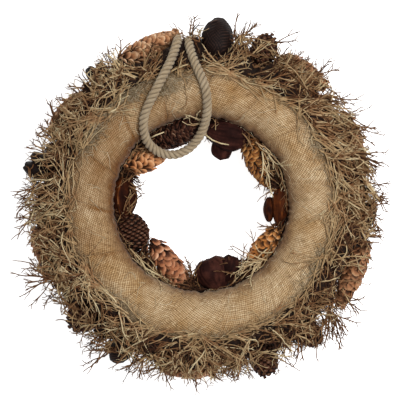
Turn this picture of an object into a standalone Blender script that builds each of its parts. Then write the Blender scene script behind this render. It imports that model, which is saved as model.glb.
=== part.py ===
"""
A dried wreath, lying on its face with the burlap back up.

A straw ring is wound with a burlap ribbon. Cones and seed pods are fixed round its outer flank,
round its hole and over its face, and dry forked twigs fill in between them. A jute rope loop
for hanging is tucked in at the top and lies slack over the back.

Metres, +Z up, the hole's axis along Z. Angles turn anticlockwise about the hole, from +X.
"""
import math
import random

import bmesh
import bpy
from mathutils import Matrix, Vector
from mathutils.bvhtree import BVHTree

MM = 0.001
TURN = 2 * math.pi

# The ring and how high its centre line lies when its face rests on the surface
RING_RADIUS = 123.5 * MM
TUBE_RADIUS = 28.5 * MM
RING_HEIGHT = 68 * MM
RING_X = 1.5 * MM
RING_Y = -4.9 * MM
GAP = 0.3 * MM
MERGE = 0.03 * MM

# The burlap ribbon: the ring angle of each turn's free edge, where it crosses the crest
WRAP_EDGES = (10, 39, 62, 87, 108, 131, 157, 180, 206, 232, 254, 281, 307, 331, 353)
WRAP_THICKNESS = 0.9 * MM
LAP_STEP = 0.9 * MM
LAP_RUN = 0.45 * MM
WRAP_SLANT = math.radians(3)
WRAP_WAVE = 0.35 * MM
WRAP_ROWS = 12
WRAP_SLIT = math.radians(6)

STRAW_RADIUS = 24.3 * MM
STRAW_COLUMNS = 28
STRAW_ROWS = 10

# The rope loop: x, y and z in mm, from the ring's centre and the surface, from strand to strand
ROPE_RADIUS = 5.1 * MM
ROPE_ROUTE = (
    (-24.5, 179.3, 67), (-25.4, 176.8, 72.5), (-27.5, 169.0, 79.5), (-31.8, 156.0, 87.5),
    (-39.0, 141.0, 95.5), (-46.7, 125.5, 100.8), (-54.5, 110.0, 102.0), (-60.3, 95.5, 100.9),
    (-61.8, 82.0, 95.6), (-57.8, 67.5, 85.5), (-48.5, 58.0, 77.5), (-36.0, 53.4, 73.5),
    (-23.0, 54.6, 72.3), (-12.0, 61.0, 73.2), (-3.5, 70.5, 77.0), (2.5, 82.0, 83.5),
    (6.0, 95.5, 91.5), (6.6, 108.0, 98.6), (5.2, 122.0, 102.0), (0.6, 136.0, 99.6),
    (-5.2, 148.5, 92.2), (-9.6, 160.0, 84.0), (-12.4, 170.0, 76.0), (-13.4, 176.5, 69.5),
    (-13.6, 178.8, 64.0),
)
ROPE_SPACING = 1.25

# The sprays of twigs: a core that hugs the ring's flank, and the twigs that stand out of it.
# Flanks are angles round the tube, and inner sprays are ring angles and a thickness in mm.
SPRAY_COUNT = 16
SPRAY_PART = 0.45
OUTER_FLANK = (-62, 30)
OUTER_THICK = 22
OUTER_TWIGS = 7
LONG_TWIGS = {1: 1.45, 2: 1.2, 4: 1.2, 8: 1.35, 9: 1.6, 10: 1.4, 12: 1.35, 13: 1.3, 15: 1.2, 16: 1.3}
INNER_FLANK = (158, 206)
INNER_SPRAYS = ((14, 29, 9), (-60, -46, 9), (-101, -93, 10), (183, 190, 8), (84, 94, 9))
INNER_TWIGS = 3
INNER_STRETCH = 0.6
RECESS_REACH = math.radians(20)
ROPE_ANGLE = 98
TWIG_RADII = (0.95 * MM, 1.35 * MM)
TWIG_LENGTHS = ((11, 18), (9, 16))
LEADER_LENGTHS = ((15, 18), (14, 17))
FORK_LENGTH = (9, 14)
TWIG_GAP = 0.4 * MM
TWIG_STEP = 1.5 * MM
ROOT_DEPTH = 3 * MM
STEEPEST = 0.2
SEAT_GAP = 0.45 * MM
SEAT_STEP = 0.1 * MM
SEAT_STEPS = 30
TWIG_TOP = 99 * MM
HOLE_CLEAR = 55 * MM
REACH = (202.5 * MM, 199.5 * MM)
SEED = 41
ATTEMPTS = 30
SORT_LINE = Vector((1.0, 1.713, 2.917))


def clear_scene():
    for thing in list(bpy.data.objects):
        bpy.data.objects.remove(thing, do_unlink=True)
    for group in list(bpy.data.collections):
        bpy.data.collections.remove(group)


def new_collection(name):
    group = bpy.data.collections.new(name)
    bpy.context.scene.collection.children.link(group)
    return group


def ring_point(angle, around, reach):
    """A point beside the ring: around turns about the tube, 0 at its outer side and 90 at the back."""
    out = RING_RADIUS + reach * math.cos(around)
    return Vector((
        RING_X + out * math.cos(angle),
        RING_Y + out * math.sin(angle),
        RING_HEIGHT + reach * math.sin(around),
    ))


def material(name, colour, roughness):
    """A plain Principled material in a linear colour."""
    made = bpy.data.materials.new(name)
    made.use_nodes = True
    shader = made.node_tree.nodes["Principled BSDF"]
    shader.inputs["Base Color"].default_value = (*colour, 1)
    shader.inputs["Roughness"].default_value = roughness
    shader.inputs["Metallic"].default_value = 0
    return made


def add_object(name, mesh, group, finish=None):
    thing = bpy.data.objects.new(name, mesh)
    group.objects.link(thing)
    if finish is not None:
        mesh.materials.clear()
        mesh.materials.append(finish)
    return thing


def hide_cutter(thing):
    thing.hide_render = True
    thing.display_type = "WIRE"
    return thing


def evaluated_mesh(thing):
    """The object's mesh with its modifiers, in world space."""
    bpy.context.view_layer.update()
    graph = bpy.context.evaluated_depsgraph_get()
    mesh = bpy.data.meshes.new_from_object(thing.evaluated_get(graph))
    mesh.transform(thing.matrix_world)
    return mesh


def world_tree(thing):
    mesh = evaluated_mesh(thing)
    shape = bmesh.new()
    shape.from_mesh(mesh)
    tree = BVHTree.FromBMesh(shape)
    shape.free()
    bpy.data.meshes.remove(mesh)
    return tree


def cut(thing, cutter):
    """Takes the cutter's space away. EXACT empties some of these scaled cones, MANIFOLD doesn't."""
    knife = thing.modifiers.new("cut by " + cutter.name, "BOOLEAN")
    knife.operation = "DIFFERENCE"
    knife.solver = "MANIFOLD"
    knife.object = cutter
    return knife


def apply_all(thing):
    """Gives the object its evaluated mesh, in world space, and clears its modifiers."""
    mesh = evaluated_mesh(thing)
    thing.modifiers.clear()
    thing.matrix_world = Matrix.Identity(4)
    old = thing.data
    thing.data = mesh
    bpy.data.meshes.remove(old)


def settle(shape):
    """Triangles in one fixed order along a slant line, so that every run gives the same solids."""
    def by_point(point):
        return point.co.dot(SORT_LINE)

    def by_middle(face):
        return face.calc_center_median().dot(SORT_LINE)

    shape.verts.sort(key=by_point)
    shape.faces.sort(key=by_middle)
    bmesh.ops.triangulate(shape, faces=shape.faces[:])
    shape.faces.sort(key=by_middle)


def to_mesh(name, shape):
    """A new mesh from a bmesh, which is freed."""
    settle(shape)
    mesh = bpy.data.meshes.new(name)
    shape.to_mesh(mesh)
    shape.free()
    return mesh


def one_body(mesh, merge=0):
    """Drops every loose scrap, so one body is left, and merges points closer than merge."""
    shape = bmesh.new()
    shape.from_mesh(mesh)
    left = set(shape.verts)
    bodies = []
    while left:
        body, edge = set(), [left.pop()]
        while edge:
            point = edge.pop()
            body.add(point)
            for line in point.link_edges:
                other = line.other_vert(point)
                if other in left:
                    left.remove(other)
                    edge.append(other)
        bodies.append(body)
    bodies.sort(key=len)
    scraps = [point for body in bodies[:-1] for point in body]
    bmesh.ops.delete(shape, geom=scraps, context="VERTS")
    if merge:
        bmesh.ops.remove_doubles(shape, verts=shape.verts, dist=merge)
    settle(shape)
    shape.to_mesh(mesh)
    shape.free()


# Straw ring and burlap

def torus_mesh(name, columns, rows):
    """A torus primitive, whose points are then placed by column and row."""
    bpy.ops.mesh.primitive_torus_add(major_segments=columns, minor_segments=rows,
                                     major_radius=RING_RADIUS, minor_radius=TUBE_RADIUS)
    made = bpy.context.object
    mesh = made.data
    bpy.data.objects.remove(made)
    mesh.name = name
    return mesh


def wrap_columns():
    """Ring angle and lap height of each column: down a step at each turn's edge, then slowly up."""
    columns = []
    for index, edge in enumerate(WRAP_EDGES):
        after = WRAP_EDGES[(index + 1) % len(WRAP_EDGES)]
        width = (after - edge) % 360
        run = math.degrees(LAP_RUN / RING_RADIUS)
        columns.append((edge - run, 1.0))
        columns.append((edge + run, 0.0))
        columns.append((edge + width * 0.5, 0.55))
    return [(math.radians(angle), height) for angle, height in columns]


def wrap_reach(height, around, index):
    """The ribbon's outer reach, with slow hollows between its wrinkles."""
    wave = WRAP_WAVE * math.sin(3 * around + 2.1 * index)
    return TUBE_RADIUS - LAP_STEP + LAP_STEP * height + wave


def shape_wrap(mesh, rows, first, span, extra):
    columns = wrap_columns()
    for index, (angle, height) in enumerate(columns):
        for row in range(rows):
            around = first + span * row
            lean = -WRAP_SLANT * math.cos(around)
            point = ring_point(angle + lean, around, wrap_reach(height, around, index) + extra)
            mesh.vertices[index * rows + row].co = point
    mesh.update()


def burlap_wrap(group, finish):
    """One shell round the straw. Its edges meet in a lapped seam, hidden on the face."""
    count = len(wrap_columns())
    mesh = torus_mesh("burlap_wrap", count, WRAP_ROWS)
    first = -math.pi / 2 + WRAP_SLIT / 2
    span = (TURN - WRAP_SLIT) / (WRAP_ROWS - 1)
    shape_wrap(mesh, WRAP_ROWS, first, span, 0)
    shape = bmesh.new()
    shape.from_mesh(mesh)
    ends = {0, WRAP_ROWS - 1}
    seam = [face for face in shape.faces
            if {point.index % WRAP_ROWS for point in face.verts} == ends]
    bmesh.ops.delete(shape, geom=seam, context="FACES")
    shape.to_mesh(mesh)
    shape.free()
    wrap = add_object("burlap_wrap", mesh, group, finish)
    wall = wrap.modifiers.new("cloth", "SOLIDIFY")
    wall.thickness = WRAP_THICKNESS
    wall.offset = -1
    return wrap


def wrap_clearance(group):
    """The wrapped ring grown by the gap, which cuts the seat into whatever is fixed to it."""
    count = len(wrap_columns())
    rows = WRAP_ROWS
    mesh = torus_mesh("wrap_clearance", count, rows)
    first = -math.pi / 2 + WRAP_SLIT / 2
    span = (TURN - WRAP_SLIT) / (rows - 1)
    shape_wrap(mesh, rows, first, span, GAP * 1.15)
    return hide_cutter(add_object("wrap_clearance", mesh, group))


def straw_ring(group, finish):
    mesh = torus_mesh("straw_ring", STRAW_COLUMNS, STRAW_ROWS)
    for index, point in enumerate(mesh.vertices):
        angle = TURN * (index // STRAW_ROWS) / STRAW_COLUMNS
        around = TURN * (index % STRAW_ROWS) / STRAW_ROWS
        point.co = ring_point(angle, around, STRAW_RADIUS)
    mesh.update()
    return add_object("straw_ring", mesh, group, finish)


# Rope loop

def smooth_route(points, spacing):
    """Points at even spacing on a smooth curve through the route's own points."""
    fine = []
    count = len(points)
    for index in range(count - 1):
        before = points[max(index - 1, 0)]
        here, there = points[index], points[index + 1]
        after = points[min(index + 2, count - 1)]
        for part in range(12):
            t = part / 12
            fine.append(0.5 * (2 * here + (there - before) * t
                               + (2 * before - 5 * here + 4 * there - after) * t ** 2
                               + (3 * here - before - 3 * there + after) * t ** 3))
    fine.append(points[-1])
    lengths = [0.0]
    for here, there in zip(fine, fine[1:]):
        lengths.append(lengths[-1] + (there - here).length)
    pieces = round(lengths[-1] / spacing)
    even, at = [], 0
    for index in range(pieces + 1):
        goal = lengths[-1] * index / pieces
        while at < len(fine) - 2 and lengths[at + 1] < goal:
            at += 1
        share = (goal - lengths[at]) / (lengths[at + 1] - lengths[at])
        even.append(fine[at].lerp(fine[at + 1], share))
    return even


def rope_loop(group, finish):
    route = [Vector((RING_X + x * MM, RING_Y + y * MM, z * MM)) for x, y, z in ROPE_ROUTE]
    points = smooth_route(route, ROPE_SPACING * 2 * ROPE_RADIUS)
    curve = bpy.data.curves.new("rope_loop", "CURVE")
    curve.dimensions = "3D"
    curve.bevel_depth = ROPE_RADIUS
    curve.bevel_resolution = 2
    curve.use_fill_caps = True
    line = curve.splines.new("POLY")
    line.points.add(len(points) - 1)
    for place, point in zip(line.points, points):
        place.co = (*point, 1)
    curve.materials.append(finish)
    rope = bpy.data.objects.new("rope_loop", curve)
    group.objects.link(rope)
    return rope


# Cones and pods, each made along +Z from its stem end to its tip

def sphere_grid(columns, rings):
    """A sphere primitive with, for each point, its ring from the stem end and its column from +Y."""
    shape = bmesh.new()
    bmesh.ops.create_uvsphere(shape, u_segments=columns, v_segments=rings + 1, radius=1)
    places = {}
    for point in shape.verts:
        ring = round((1 - math.acos(max(-1, min(1, point.co.z))) / math.pi) * (rings + 1))
        column = round(math.atan2(point.co.x, point.co.y) / TURN * columns) % columns
        places[point] = (ring, column)
    return shape, places


def split_on(shape, places, low):
    """Splits each four-sided face between its two low points, so each scale stands alone."""
    for face in list(shape.faces):
        if len(face.verts) == 4:
            ends = [point for point in face.verts if low(*places[point])]
            if len(ends) == 2:
                bmesh.utils.face_split(face, ends[0], ends[1])


def spruce_cone(length, radius):
    """A closed cone: flat pointed scales in rows, each row half a scale round from the last."""
    scales, rings = 5, 10
    columns = 2 * scales
    shape, places = sphere_grid(columns, rings)

    def low(ring, column):
        return (ring + column) % 2 == 1

    split_on(shape, places, low)
    pitch = length / (rings + 1)
    for point, (ring, column) in places.items():
        t = ring / (rings + 1)
        body = math.sin(math.pi * min(1, t * 0.93 + 0.04)) ** 0.55
        body *= 1 - 0.28 * t
        step = 0.84 if low(ring, column) else 1.07
        lean = -0.2 if low(ring, column) else 0.42
        if ring in (0, rings + 1):
            body, lean = 0, 0
        angle = TURN * column / columns
        reach = radius * body * step
        point.co = (reach * math.sin(angle), reach * math.cos(angle),
                    length * (t - 0.5) + pitch * lean)
    return shape


def pine_cone(length, radius):
    """An open cone: thick scale tips stand out over a deep groove below each row."""
    scales, rows = 5, 5
    columns, rings = 2 * scales, 2 * rows
    shape, places = sphere_grid(columns, rings)

    def low(ring, column):
        return ring % 2 == 0 or (ring // 2 + column) % 2 == 1

    split_on(shape, places, low)
    pitch = length / (rings + 1)
    for point, (ring, column) in places.items():
        t = ring / (rings + 1)
        body = math.sin(math.pi * (0.1 + 0.84 * t)) ** 0.6
        if ring in (0, rings + 1):
            body, step, lean = 0, 0, 0
        elif ring % 2 == 0:
            step, lean = 0.72, -0.1
        else:
            step = 0.86 if low(ring, column) else 1.06
            lean = -0.25 if low(ring, column) else 0.3
        angle = TURN * column / columns
        reach = radius * body * step
        point.co = (reach * math.sin(angle), reach * math.cos(angle),
                    length * (t - 0.5) + pitch * lean)
    return shape


def fluted_pod(length, radius):
    """A woody dome with rounded flutes, widest past its middle."""
    columns, rings = 14, 5
    shape, places = sphere_grid(columns, rings)
    for point, (ring, column) in places.items():
        t = ring / (rings + 1)
        body = 0 if ring in (0, rings + 1) else math.sin(math.pi * (0.12 + 0.8 * t ** 0.8)) ** 0.7
        flute = 1.03 if column % 2 == 0 else 0.88
        angle = TURN * column / columns
        reach = radius * body * flute
        point.co = (reach * math.sin(angle), reach * math.cos(angle), length * (t - 0.5))
    return shape


def smooth_pod(length, radius):
    """A two-lobed valve: a smooth egg with a deep fold down one side."""
    columns, rings = 12, 5
    shape, places = sphere_grid(columns, rings)
    fold_column = 3
    for point, (ring, column) in places.items():
        t = ring / (rings + 1)
        body = 0 if ring in (0, rings + 1) else math.sin(math.pi * (0.04 + 0.9 * t)) ** 0.75
        away = min(abs(column - fold_column), columns - abs(column - fold_column))
        fold = (0.66, 0.98, 1.0)[min(away, 2)]
        angle = TURN * column / columns
        reach = radius * body * fold
        point.co = (reach * math.sin(angle), 0.92 * reach * math.cos(angle), length * (t - 0.5))
    return shape


KINDS = {
    "spruce_cone": spruce_cone,
    "pine_cone": pine_cone,
    "fluted_pod": fluted_pod,
    "smooth_pod": smooth_pod,
}

# How far each kind's scale tips or flutes stand out, for a nominal radius of 1
WIDEST = {"spruce_cone": 0.95, "pine_cone": 1.06, "fluted_pod": 1.03, "smooth_pod": 1.0}

# Where each cone and pod sits: kind, ring angle, distance of its middle from the ring's centre,
# height of its middle over the surface, length, width, the way its tip points in plan, its tilt
# up, and its roll. Degrees and mm.
OUTER_PIECES = (
    ("fluted_pod", 84.3, 182.5, 58, 46, 36, 86, -12, 0),
    ("pine_cone", 67.8, 181.5, 52, 42, 30, 66, -8, 20),
    ("spruce_cone", 52.5, 182.0, 50, 58, 28, -34, 4, 10),
    ("spruce_cone", 20.5, 176.0, 54, 80, 28, -74, -3, 0),
    ("smooth_pod", -3.5, 178.5, 52, 36, 28, 84, 5, 200),
    ("spruce_cone", -24.3, 182.0, 52, 76, 29, -112, 2, 25),
    ("pine_cone", -50.6, 182.0, 50, 42, 30, -38, 6, 0),
    ("pine_cone", -68.0, 182.5, 50, 44, 33, -72, -4, 15),
    ("spruce_cone", -93.5, 178.5, 52, 58, 28, -178, 3, 0),
    ("fluted_pod", -118.8, 182.0, 52, 34, 27, -120, 0, 10),
    ("pine_cone", -136.5, 178.0, 50, 42, 36, -140, -6, 0),
    ("spruce_cone", -164.5, 177.5, 52, 54, 28, -76, 4, 0),
    ("smooth_pod", 167.3, 179.0, 54, 38, 29, 150, -4, 120),
    ("spruce_cone", 147.6, 174.5, 52, 54, 30, 62, 3, 15),
    ("smooth_pod", 128.4, 179.0, 52, 30, 26, 120, 0, 60),
    ("spruce_cone", 108.8, 179.5, 55, 70, 27, 27, 2, 0),
)
INNER_PIECES = (
    ("pine_cone", 109.5, 82.6, 62, 56, 30, 20, 3, 0),
    ("smooth_pod", 68.6, 77.6, 60, 43, 40, -22, 0, 250),
    ("spruce_cone", 38.6, 82.4, 57, 56, 29, -68, 4, 0),
    ("smooth_pod", -3.0, 83.6, 56, 42, 29, 88, 0, 30),
    ("spruce_cone", -34.8, 87.0, 52, 58, 29, -131, 0, 15),
    ("smooth_pod", -77.5, 78.0, 59, 42, 40, 12, 0, 120),
    ("spruce_cone", -115.2, 77.8, 54, 64, 30, -56, -5, 0),
    ("pine_cone", -157.5, 81.6, 56, 42, 34, -62, 4, 10),
    ("smooth_pod", 174.4, 84.2, 58, 42, 29, 86, 0, 150),
    ("spruce_cone", 144.4, 79.6, 55, 46, 31, 13, 4, 0),
)
# Those on the face, which carry the wreath where it lies
FACE_PIECES = (
    ("pine_cone", 12, 124, 20.0, 52, 45, 100, 0, 0),
    ("spruce_cone", 57, 127, 19.5, 64, 46, 152, 0, 10),
    ("pine_cone", 103, 122, 20.0, 50, 45, 188, 0, 0),
    ("smooth_pod", 147, 126, 19.8, 50, 46, 240, 0, 40),
    ("pine_cone", 192, 124, 20.0, 52, 45, 278, 0, 15),
    ("spruce_cone", 238, 126, 19.5, 66, 46, 330, 0, 10),
    ("fluted_pod", 283, 123, 19.5, 48, 42, 10, 0, 0),
    ("spruce_cone", 328, 126, 20.0, 62, 46, 60, 0, 20),
)


def place_matrix(angle, out, height, heading, tilt, roll):
    middle = Vector((RING_X + out * MM * math.cos(math.radians(angle)),
                     RING_Y + out * MM * math.sin(math.radians(angle)), height * MM))
    turn = (Matrix.Rotation(math.radians(heading), 4, "Z")
            @ Matrix.Rotation(math.radians(90 - tilt), 4, "Y")
            @ Matrix.Rotation(math.radians(roll), 4, "Z"))
    return Matrix.Translation(middle) @ turn


def ground_block(group):
    """What lies under the surface, which flattens the undersides that rest on it."""
    shape = bmesh.new()
    bmesh.ops.create_cube(shape, size=1)
    block = add_object("ground_block", to_mesh("ground_block", shape), group)
    block.scale = (0.6, 0.6, 0.1)
    block.location = (0, 0, -0.05)
    return hide_cutter(block)


def cone_recess(name, length, reach, matrix, group):
    """A plain blunt egg a little larger than a cone, which leaves room for it in a spray's core."""
    columns, rings = 8, 4
    profile = ((0.5, 0), (0.46, 0.8), (0.2, 1), (-0.2, 1), (-0.46, 0.8), (-0.5, 0))
    shape, places = sphere_grid(columns, rings)
    widest = (reach + GAP) / math.cos(math.pi / columns)
    for point, (ring, column) in places.items():
        along, body = profile[rings + 1 - ring]
        angle = TURN * column / columns
        point.co = (widest * body * math.sin(angle), widest * body * math.cos(angle),
                    (length + 5 * MM) * along)
    recess = hide_cutter(add_object(name, to_mesh(name, shape), group))
    recess.matrix_world = matrix
    return recess


def add_pieces(pieces, where, parts, cutters, finishes, clearance, ground):
    """Makes one row of cones and pods, and the recess that each needs in a core."""
    made, recesses, counts = [], [], {}
    for kind, angle, out, height, length, width, heading, tilt, roll in pieces:
        counts[kind] = counts.get(kind, 0) + 1
        name = f"{kind}_{where}_{counts[kind]}"
        mesh = to_mesh(name, KINDS[kind](length * MM, width / 2 * MM))
        piece = add_object(name, mesh, parts, finishes[kind])
        piece.matrix_world = place_matrix(angle, out, height, heading, tilt, roll)
        if where != "outer":
            cut(piece, clearance)
        if where == "face":
            cut(piece, ground)
        made.append(piece)
        recess = cone_recess(name + "_recess", length * MM, width / 2 * MM * WIDEST[kind],
                             piece.matrix_world, cutters)
        recesses.append((angle, recess))
        if piece.modifiers:
            apply_all(piece)
            one_body(piece.data)
    return made, recesses


# Twig sprays

def core_mesh(name, spans, thickness, rng):
    """A lumpy block bent round the ring's flank: a grid primitive, drawn out and bent to shape."""
    start, end, low, high = spans
    columns, rows = 3, 3
    shape = bmesh.new()
    bmesh.ops.create_grid(shape, x_segments=columns, y_segments=rows, size=1)
    made = bmesh.ops.extrude_face_region(shape, geom=shape.faces[:])
    top = {item for item in made["geom"] if isinstance(item, bmesh.types.BMVert)}
    sag = TUBE_RADIUS * (1 - math.cos((high - low) / rows / 2))
    lumps = [[rng.uniform(0.82, 1.12) for _ in range(rows + 1)] for _ in range(columns + 1)]
    for point in shape.verts:
        u, v = (point.co.x + 1) / 2, (point.co.y + 1) / 2
        edge = min(1, 2.4 * min(u, 1 - u) + 0.85) * min(1, 2.4 * min(v, 1 - v) + 0.4)
        lump = lumps[round(u * columns)][round(v * rows)]
        reach = TUBE_RADIUS + WRAP_WAVE + 1.6 * GAP + sag
        if point in top:
            reach += thickness * edge * lump
        point.co = ring_point(start + (end - start) * u, low + (high - low) * v, reach)
    bmesh.ops.recalc_face_normals(shape, faces=shape.faces)
    if shape.calc_volume(signed=True) < 0:
        bmesh.ops.reverse_faces(shape, faces=shape.faces)
    return to_mesh(name, shape)


def stick_mesh(name, points, radii):
    """A three-sided stick: a cone primitive, drawn out at each bend and pinched shut at its tip."""
    shape = bmesh.new()
    bmesh.ops.create_cone(shape, cap_ends=True, segments=3, radius1=1, radius2=1, depth=2)
    bottom = [point for point in shape.verts if point.co.z < 0]
    top = [point for point in shape.verts if point.co.z > 0]
    corners = {point: math.atan2(point.co.y, point.co.x) for point in shape.verts}

    def put(ring, index):
        ahead = points[min(index + 1, len(points) - 1)] - points[max(index - 1, 0)]
        frame = ahead.to_track_quat("Z", "X").to_matrix()
        for point in ring:
            spot = Vector((math.cos(corners[point]), math.sin(corners[point]), 0))
            point.co = points[index] + frame @ (spot * radii[index])

    put(bottom, 0)
    put(top, 1)
    for index in range(2, len(points)):
        cap = next(face for face in shape.faces if set(face.verts) == set(top))
        old = {point.co.copy().freeze(): corners[point] for point in top}
        made = bmesh.ops.extrude_discrete_faces(shape, faces=[cap])
        top = list(made["faces"][0].verts)
        for point in top:
            corners[point] = old[point.co.copy().freeze()]
        put(top, index)
    bmesh.ops.pointmerge(shape, verts=top, merge_co=points[-1])
    bmesh.ops.recalc_face_normals(shape, faces=shape.faces)
    return to_mesh(name, shape)


def is_clear(point, need, trees):
    """Whether a point with this much round it is in bounds and clear of every tree."""
    out = (point.xy - Vector((RING_X, RING_Y))).length
    if point.z < need + GAP or point.z > TWIG_TOP or out < HOLE_CLEAR:
        return False
    if abs(point.x) > REACH[0] or abs(point.y) > REACH[1]:
        return False
    for tree in trees:
        place, normal, _, distance = tree.find_nearest(point, 30 * MM)
        if place is not None and (distance < need or (point - place).dot(normal) < 0):
            return False
    return True


def stretch_is_clear(start, end, need, trees):
    steps = max(2, math.ceil((end - start).length / TWIG_STEP))
    return all(is_clear(start.lerp(end, step / steps), need, trees) for step in range(1, steps + 1))


def grow(rng, start, heading, lengths, radius, wander, trees):
    """Grows a crooked stick, bent clear of the trees at each stretch, or stopped where it can't be."""
    points = [start]
    for length in lengths:
        for _ in range(12):
            turn = Vector([rng.gauss(0, wander) for _ in range(3)])
            ahead = (heading + turn).normalized()
            end = points[-1] + ahead * length
            if stretch_is_clear(points[-1], end, radius + TWIG_GAP, trees):
                points.append(end)
                heading = ahead
                break
        else:
            break
    return points


def root_spot(rng, tree, spans):
    """A random spot on a core's outside, with the ways out of the ring and out of its tube there."""
    start, end, low, high = spans
    angle, around = rng.uniform(start, end), rng.uniform(low, high)
    centre = ring_point(angle, around, 0)
    flank = (ring_point(angle, around, TUBE_RADIUS) - centre).normalized()
    outward = Vector((math.cos(angle), math.sin(angle), 0))
    spot, normal, _, _ = tree.ray_cast(centre + flank * 3 * TUBE_RADIUS, -flank)
    if spot is None or normal.dot(flank) < STEEPEST:
        return None
    return spot - flank * ROOT_DEPTH, outward, flank


def spray_sticks(core, spans, count, stretch, rng, trees, group):
    """Twigs rooted in the core. The first leads straight outward, and two in three have a fork."""
    own = world_tree(core)
    made = 0
    for _ in range(60 * count):
        if made == count:
            break
        found = root_spot(rng, own, spans)
        radius = rng.uniform(*TWIG_RADII)
        if found is None or not is_clear(found[0], radius + TWIG_GAP, trees):
            continue
        root, outward, flank = found
        aside = Vector((-outward.y, outward.x, 0)) * rng.choice((-1, 1))
        if made == 0:
            heading = (outward + aside * rng.uniform(0.1, 0.4)).normalized()
            spans_mm = LEADER_LENGTHS
        else:
            heading = (flank * rng.uniform(0.5, 1.1) + aside * rng.uniform(0.3, 1.1)).normalized()
            spans_mm = TWIG_LENGTHS
        lengths = [rng.uniform(*span) * MM * stretch for span in spans_mm]
        points = grow(rng, root, heading, lengths, radius, 0.28, trees)
        if len(points) < 3:
            continue
        made += 1
        radii = (radius, radius * 0.9, radius * 0.4)
        hide_cutter(add_object(f"twig {made}", stick_mesh("twig", points, radii), group))
        if made % 3 == 0:
            continue
        ahead = (points[2] - points[1]).normalized()
        aside = ahead.cross(flank).normalized() * rng.choice((-1, 1))
        way = (ahead * 0.8 + aside * 0.7 + flank * rng.uniform(-0.1, 0.5)).normalized()
        joint = points[0].lerp(points[1], rng.uniform(0.7, 0.97))
        fork = grow(rng, joint, way, (rng.uniform(*FORK_LENGTH) * MM * stretch,), radius, 0.2, trees)
        if len(fork) > 1:
            radii = (radius * 0.75, radius * 0.5)
            hide_cutter(add_object(f"fork {made}", stick_mesh("fork", fork, radii), group))


def is_sound(mesh):
    """Whether a mesh is one closed body of plain edges, with no two points closer than a hair."""
    shape = bmesh.new()
    shape.from_mesh(mesh)
    before = len(shape.verts)
    bmesh.ops.remove_doubles(shape, verts=shape.verts, dist=MERGE / 10)
    sound = (before == len(shape.verts) and shape.calc_volume(signed=True) > 0
             and all(edge.is_manifold for edge in shape.edges)
             and all(point.is_manifold for point in shape.verts))
    shape.free()
    return sound


def fuse(name, core, sticks, bench, finish):
    """Joins sticks to a copy of their core in one union, and removes them."""
    joined = add_object(name + " joined", core.copy(), bench)
    join = joined.modifiers.new("join", "BOOLEAN")
    join.operation = "UNION"
    join.operand_type = "COLLECTION"
    join.collection = sticks
    join.solver = "MANIFOLD"
    mesh = evaluated_mesh(joined)
    one_body(mesh)
    bpy.data.objects.remove(joined)
    for stick in list(sticks.objects):
        bpy.data.objects.remove(stick)
    mesh.materials.clear()
    mesh.materials.append(finish)
    return mesh


def add_core(name, spans, thickness, parts, recesses, finish, rng):
    """One spray's core, cut clear of the cones and the rope that lie in it."""
    spans = [math.radians(value) for value in spans]
    core = add_object(name, core_mesh(name, spans, thickness * MM, rng), parts, finish)
    middle, half = (spans[0] + spans[1]) / 2, (spans[1] - spans[0]) / 2
    for angle, recess in recesses:
        apart = abs((math.radians(angle) - middle + math.pi) % TURN - math.pi)
        if apart < half + RECESS_REACH:
            cut(core, recess)
    apply_all(core)
    one_body(core.data, MERGE)
    return core, spans


def seat(piece, cores):
    """Moves an outer piece inward, in small steps, until it all but touches a core."""
    inward = Vector((RING_X, RING_Y, 0)) - piece.matrix_world.translation
    inward.z = 0
    inward.normalize()
    own = world_tree(piece)
    points = [point.co.copy() for point in evaluated_mesh(piece).vertices]
    corners = [point.co for core in cores for point in core.data.vertices]
    trees = [world_tree(core) for core in cores]

    def meets(move):
        return (any(tree.find_nearest(point + move, SEAT_GAP)[0] is not None
                    for tree in trees for point in points)
                or any(own.find_nearest(corner - move, SEAT_GAP)[0] is not None
                       for corner in corners))

    steps = 0
    while steps < SEAT_STEPS and not meets(inward * (steps + 1) * SEAT_STEP):
        steps += 1
    piece.matrix_world = Matrix.Translation(inward * steps * SEAT_STEP) @ piece.matrix_world


def add_sprays(parts, cutters, fixed, recesses, finish):
    """All the sprays: their cores first, then each one's twigs, clear of everything made so far."""
    rng = random.Random(SEED)
    width = 360 / SPRAY_COUNT
    sprays = []
    for index in range(SPRAY_COUNT):
        spans = (index * width + SPRAY_PART, (index + 1) * width - SPRAY_PART, *OUTER_FLANK)
        core, spans = add_core(f"twig_spray_outer_{index + 1}", spans, OUTER_THICK, parts,
                               recesses, finish, rng)
        sprays.append((core, spans, OUTER_TWIGS, LONG_TWIGS.get(index + 1, 1.0)))
    for index, (start, end, thickness) in enumerate(INNER_SPRAYS):
        core, spans = add_core(f"twig_spray_inner_{index + 1}", (start, end, *INNER_FLANK),
                               thickness, parts, recesses, finish, rng)
        sprays.append((core, spans, INNER_TWIGS, INNER_STRETCH))
    for piece in fixed:
        if "_outer_" in piece.name:
            seat(piece, [core for core, *_ in sprays])
    still = [world_tree(thing) for thing in fixed]
    grown = {spray.name: world_tree(spray) for spray, *_ in sprays}
    for number, (spray, spans, count, stretch) in enumerate(sprays):
        trees = still + [tree for name, tree in grown.items() if name != spray.name]
        for attempt in range(ATTEMPTS):
            sticks = new_collection(spray.name + " sticks")
            draw = random.Random(SEED + 100 * number + attempt)
            spray_sticks(spray, spans, count, stretch, draw, trees, sticks)
            mesh = fuse(spray.name, spray.data, sticks, cutters, finish)
            bpy.data.collections.remove(sticks)
            if is_sound(mesh):
                spray.data = mesh
                break
        grown[spray.name] = world_tree(spray)


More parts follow.
